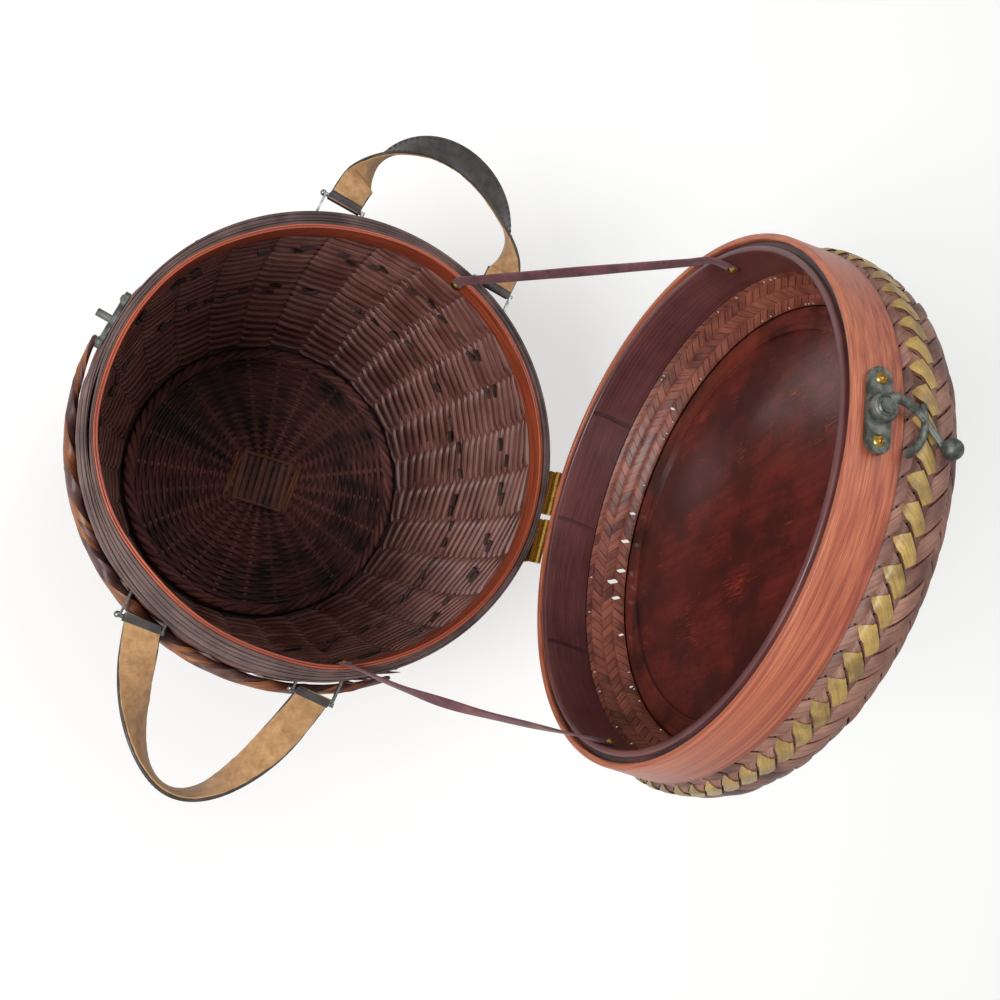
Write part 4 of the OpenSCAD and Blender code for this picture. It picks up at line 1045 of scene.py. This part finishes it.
# Each gap has a direction in degrees, a share of the way up the cone and a size in
# millimetres. The solid behind is closed, so a pale glowing flake, painted light, stands for
# the daylight in each gap.
wide_gaps = [(95, 0.86, 1.6), (86.5, 0.84, 2.2), (77.5, 0.86, 2.4), (74, 0.66, 2.8),
             (69, 0.78, 2.2), (57, 0.9, 1.4), (38, 0.88, 1.0), (128, 0.75, 1.3)]
gaps = wide_gaps + [(a, u, 0.5) for a, u in zip(
    360 * chance.random(60), np.where(np.arange(60) % 2 == 0, 0.93, 0.08))]
gap_corners = np.array([(1, 0.35), (0.25, 1), (-0.25, 1), (-1, -0.35), (-0.25, -1), (0.25, -1)])
gap_narrow = 0.55
cone_middle_r = 115
cone_l = 20.5
gap_points = []
for a, u, size in gaps:
    across = gap_corners[:, 0] * size * gap_narrow / cone_middle_r
    up = u + gap_corners[:, 1] * size / cone_l
    flat = cone_low + up[:, None] * (cone_high - cone_low) - flake_depth * cone_out
    angle = math.radians(a) + across
    gap_points.append(np.stack([flat[:, 0] * np.cos(angle), flat[:, 0] * np.sin(angle),
                                flat[:, 1]], -1))
gap_points = np.array(gap_points)
gap_faces = [[6 * n + c for c in range(6)] for n in range(len(gaps))]
piece("lid_lining_glowing_gap_flakes", opened(gap_points), gap_faces, daylight, "lid")

dark_backing = ring_grain("dark_strip_backing", "#55302c", "#3c201f", "#241314", True, 1.0)
lacquer = ring_grain("red_lacquered_board", "#702c25", "#592420", "#45201d", True, 1.6, 0.24,
                     0.5, 0.3, "#a03a20")
lath = ring_grain("red_lacquered_lath", "#8a3c2c", "#60281f", "#3a1818", True, 0.7, 0.32, 0.5)
for node in ("lid_backing", "lining_cone", "lid_core_hoop", "panel_spacer"):
    repaint(node, dark_backing)
for node in ("inner_panel", "outer_panel"):
    repaint(node, lacquer)
for node in ("inner_lath_ring", "outer_lath_ring"):
    repaint(node, lath)

# Lid stays
# Two thongs of plum-coloured leather hold the lid: the one on the far side is taut, the
# other hangs slack and twisted. Each is tacked to both hoops.
stay_w = 6.0
stay_t = 1.2
stay_mid = 0.8
tack_depth = 8.0
lid_tack_h = 9.0
rim_clear = 2.4
lid_clear = 3
stay_steps = 12
stay_samples = 97


def leather(name, pale, deep, pore_mm, roughness, bump_mm, coat=0.0, sheen=0.0, stain_mm=11):
    """Tanned hide: rounded pores from a cell pattern, slow stains, and a soft worn tone."""
    material, tree = new_material(name)
    place = add(tree, "ShaderNodeTexCoord").outputs["Object"]
    cells = add(tree, "ShaderNodeTexVoronoi", {"Vector": place, "Scale": 1 / (pore_mm * MM)},
                feature="SMOOTH_F1").outputs["Distance"]
    stains = add(tree, "ShaderNodeTexNoise",
                 {"Vector": place, "Scale": 1 / (stain_mm * MM), "Detail": 5.0,
                  "Roughness": 0.7}).outputs["Fac"]
    fac = add(tree, "ShaderNodeMapRange", {0: stains, 1: 0.35, 2: 0.65}).outputs[0]
    tone = add(tree, "ShaderNodeMix", {0: fac, 6: colour(deep), 7: colour(pale)},
               data_type="RGBA").outputs[2]
    height = add(tree, "ShaderNodeMath", {0: cells, 1: stains}, operation="ADD").outputs[0]
    bump = add(tree, "ShaderNodeBump", {"Height": height, "Distance": bump_mm * MM,
                                        "Strength": 0.7}).outputs[0]
    surface = add(tree, "ShaderNodeBsdfPrincipled",
                  {"Base Color": tone, "Roughness": roughness, "Normal": bump,
                   "Coat Weight": coat, "Sheen Weight": sheen})
    add(tree, "ShaderNodeOutputMaterial", {"Surface": surface.outputs[0]})
    return material


thong_leather = leather("plum_suede_thong", "#7c4c50", "#54303a", 0.5, 0.8, 0.1, sheen=0.2)
black_leather = leather("black_grained_leather", "#4a4543", "#2b2725", 0.7, 0.5, 0.12, 0.1)
tan_suede = leather("tan_suede", "#c79a6c", "#a0784c", 0.4, 0.9, 0.12, sheen=0.3, stain_mm=6)


def strap_section(width, thickness, corner=0.35):
    """Flat strap's section with rounded edges: across first, then through its thickness."""
    t = np.linspace(0, np.pi / 2, 3)
    corners = [(width / 2 - corner, thickness / 2 - corner),
               (-width / 2 + corner, thickness / 2 - corner),
               (-width / 2 + corner, -thickness / 2 + corner),
               (width / 2 - corner, -thickness / 2 + corner)]
    return np.concatenate([
        np.stack([x + corner * np.cos(t + n * np.pi / 2),
                  y + corner * np.sin(t + n * np.pi / 2)], -1)
        for n, (x, y) in enumerate(corners)])


def towards(degrees):
    """Unit direction in the floor plane."""
    return np.array([math.cos(math.radians(degrees)), math.sin(math.radians(degrees)), 0.0])


def stay(name, basket_dir, lid_dir, sag, bow, twist_deg):
    """A thong from the basket's tack over the rim and the lid's edge to the lid's tack. Its
    flat side faces the hoop at both ends. Between them it sags, bows aside and twists."""
    out = towards(basket_dir)
    lid_way = opened(towards(lid_dir)) - opened(np.zeros(3))
    start = (inner_r - stay_mid) * out + np.array([0, 0, rim_h - tack_depth])
    over = start - touch * out + np.array([0, 0, tack_depth + rim_clear])
    tack = opened((lid_inner_r - stay_mid) * towards(lid_dir) + np.array([0, 0, lid_tack_h]))
    lid_down = opened(np.array([0, 0, -1.0])) - opened(np.zeros(3))
    edge = tack + (lid_tack_h + lid_clear) * lid_down - 2 * touch * lid_way
    u = np.linspace(0, 1, stay_steps + 1)[:, None]
    hang = (over + u * (edge - over) - np.array([0, 0, 4.0 * sag]) * u * (1 - u)
            + np.array([bow, 0, 0]) * np.sin(np.pi * u))
    path = smooth_path(np.concatenate([[start], hang, [tack]]), stay_samples)
    along = np.clip((np.linspace(0, stay_steps + 2, stay_samples) - 1) / stay_steps, 0, 1)
    along = along[:, None]
    face = unit((1 - along) * out + along * lid_way)
    ahead = unit(np.gradient(path, axis=0))
    wide = unit(np.cross(ahead, face))
    twist = np.radians(twist_deg) * (np.sin(np.pi * along) ** 2
                                     + 0.25 * np.sin(3 * np.pi * along) ** 2)
    wide = np.cos(twist) * wide + np.sin(twist) * face
    thong = rods(name, path[None], wide[None], strap_section(stay_w, stay_t), thong_leather,
                 [name.removeprefix("worn_")], body=None)
    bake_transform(thong)


stay("worn_upper_stay", 157.8, 179.0, 0.0, 0.0, 12)
stay("worn_lower_stay", 19.0, 8.0, 22.0, 4.0, 50)

# Handles
# Each handle is a strap of black leather faced with tan suede, stitched along both edges and
# folded round a steel pin at each end. It stands up off the pins and turns on edge.
handle_dir = -9.0
pin_out = rim_out_r + 0.6
pin_drop = 13.0
handle_half = 48.0
handle_droop = 3.0
strap_w = 19.0
leather_t = 1.5
suede_t = 1.0
strap_tail = 3.0
strap_rise = 4.0
strap_flat = 1 / 16
strap_fall = 0.2
stitch_count = 52
strap_sections = 129
# For each handle: its side, its twist, how soon the twist sets in, and its line's four points.
loops = {"right": (0, 90, 0.8, [(-strap_tail, -handle_half), (88, -24), (102, 24),
                                (-strap_tail, handle_half)]),
         "left": (180, 165, 0.5, [(-strap_tail, -handle_half), (64, -60), (97, 44),
                                  (-strap_tail, handle_half)])}


def at_handle(points, turn):
    """Handle points (out, along the pin, up), tipped down by the droop, then moved to the
    pin line on the turned side of the rim."""
    d = math.radians(handle_droop)
    x = points[..., 0] * math.cos(d) + points[..., 2] * math.sin(d)
    z = points[..., 2] * math.cos(d) - points[..., 0] * math.sin(d)
    a = math.radians(handle_dir + turn)
    x = x + pin_out
    return np.stack([x * math.cos(a) - points[..., 1] * math.sin(a),
                     x * math.sin(a) + points[..., 1] * math.cos(a),
                     z + rim_h - pin_drop], -1)


def strap_frame(side, u):
    """The strap's line is a cubic Bezier lifted over the eyes at both ends. It lies flat there
    and twists towards the middle. Returns the line, the broad direction and the face."""
    turn, twist, ease_in, loop = loops[side]
    p = [np.array([*point, 0.0]) for point in loop]
    u = u[:, None]
    line = (p[0] * (1 - u) ** 3 + 3 * p[1] * u * (1 - u) ** 2 + 3 * p[2] * u ** 2 * (1 - u)
            + p[3] * u ** 3)
    past = np.clip(np.minimum(u, 1 - u) - strap_flat, 0, None)
    line[:, 2:] = strap_rise * np.cos(np.pi / 2 * np.minimum(1, past / strap_fall)) ** 2
    ahead = unit((p[1] - p[0]) * (1 - u) ** 2 + 2 * (p[2] - p[1]) * u * (1 - u)
                 + (p[3] - p[2]) * u ** 2)
    ease = np.clip(u / strap_flat, 0, 1) * np.clip((1 - u) / strap_flat, 0, 1)
    square = np.where(u < 0.5, np.array([1.0, 0, 0]), np.array([-1.0, 0, 0]))
    ahead = unit(ease * ahead + (1 - ease) * square)
    roll = np.radians(twist) * np.sin(np.pi / 2 * past / (0.5 - strap_flat)) ** ease_in
    inward = np.stack([-ahead[:, 1], ahead[:, 0], 0 * ahead[:, 0]], -1)
    up = np.array([0.0, 0, 1])
    return (line, np.cos(roll) * inward - np.sin(roll) * up,
            np.cos(roll) * up + np.sin(roll) * inward)


def strap_layer(side, low, high, width, ragged=0.0):
    """One layer of a strap between two heights over its line; ragged wanders the edges."""
    u = np.linspace(0, 1, strap_sections)
    line, wide, face = strap_frame(side, u)
    edge = width + ragged * sum(np.sin(n * u * 6.28 + n) for n in (7, 13, 31)) / 3
    scale = np.stack([edge / width, np.ones(strap_sections)], -1)
    shape = strap_section(width, high - low, 0.3)[None] * scale[:, None]
    points = (line[:, None] + shape[..., :1] * wide[:, None]
              + (shape[..., 1:] + (low + high) / 2) * face[:, None])
    return at_handle(points, loops[side][0]), tube_faces(points[None], False)


def stitches(side):
    """Short thread ends along both edges of the leather's outer face."""
    u = np.linspace(0.03, 0.97, stitch_count)
    line, wide, face = strap_frame(side, u)
    ahead = unit(np.gradient(line, axis=0))
    t = np.linspace(-1, 1, 5)[None, :, None]
    rows = [line[:, None] + s * (strap_w / 2 - 1.6) * wide[:, None] + 1.3 * t * ahead[:, None]
            + (-leather_t - 0.15 * (1 - t ** 2) + 0.1) * face[:, None] for s in (-1, 1)]
    paths = at_handle(np.concatenate(rows), loops[side][0])
    return sweep(paths, upward(paths), round_section(0.3, 0.3, 6), False)[:2]


def folded_ends(side):
    """The leather's ends, folded over the suede and stitched down beside the pins."""
    paths = []
    for u in (0.008, 0.992):
        line, wide, face = strap_frame(side, np.array([u]))
        t = np.linspace(-1, 1, 9)[:, None]
        paths.append(line + t * (strap_w / 2 - 0.2) * wide + (suede_t + 0.2) * face)
    paths = at_handle(np.array(paths), loops[side][0])
    return sweep(paths, upward(paths), round_section(0.5, 2.2), False)[:2]


thread = leather("waxed_black_thread", "#55504c", "#2e2a28", 0.4, 0.6, 0.05)
for side in ("right", "left"):
    layers = (("_black_strap", strap_layer(side, -leather_t, 0.0, strap_w), black_leather,
               "leather", [side + "_strap"]),
              ("_suede_facing", strap_layer(side, touch, touch + suede_t, strap_w - 1.0, 0.7),
               tan_suede, "suede", [side + "_strap_lining"]),
              ("_strap_stitches", stitches(side), thread, "leather", ()),
              ("_folded_ends", folded_ends(side), black_leather, "leather", ()))
    for name, (points, faces), material, slot, node in layers:
        piece(side + name, points, faces, material, side + "_handle", node)
    repaint(side + "_strap_eyes", black_leather)
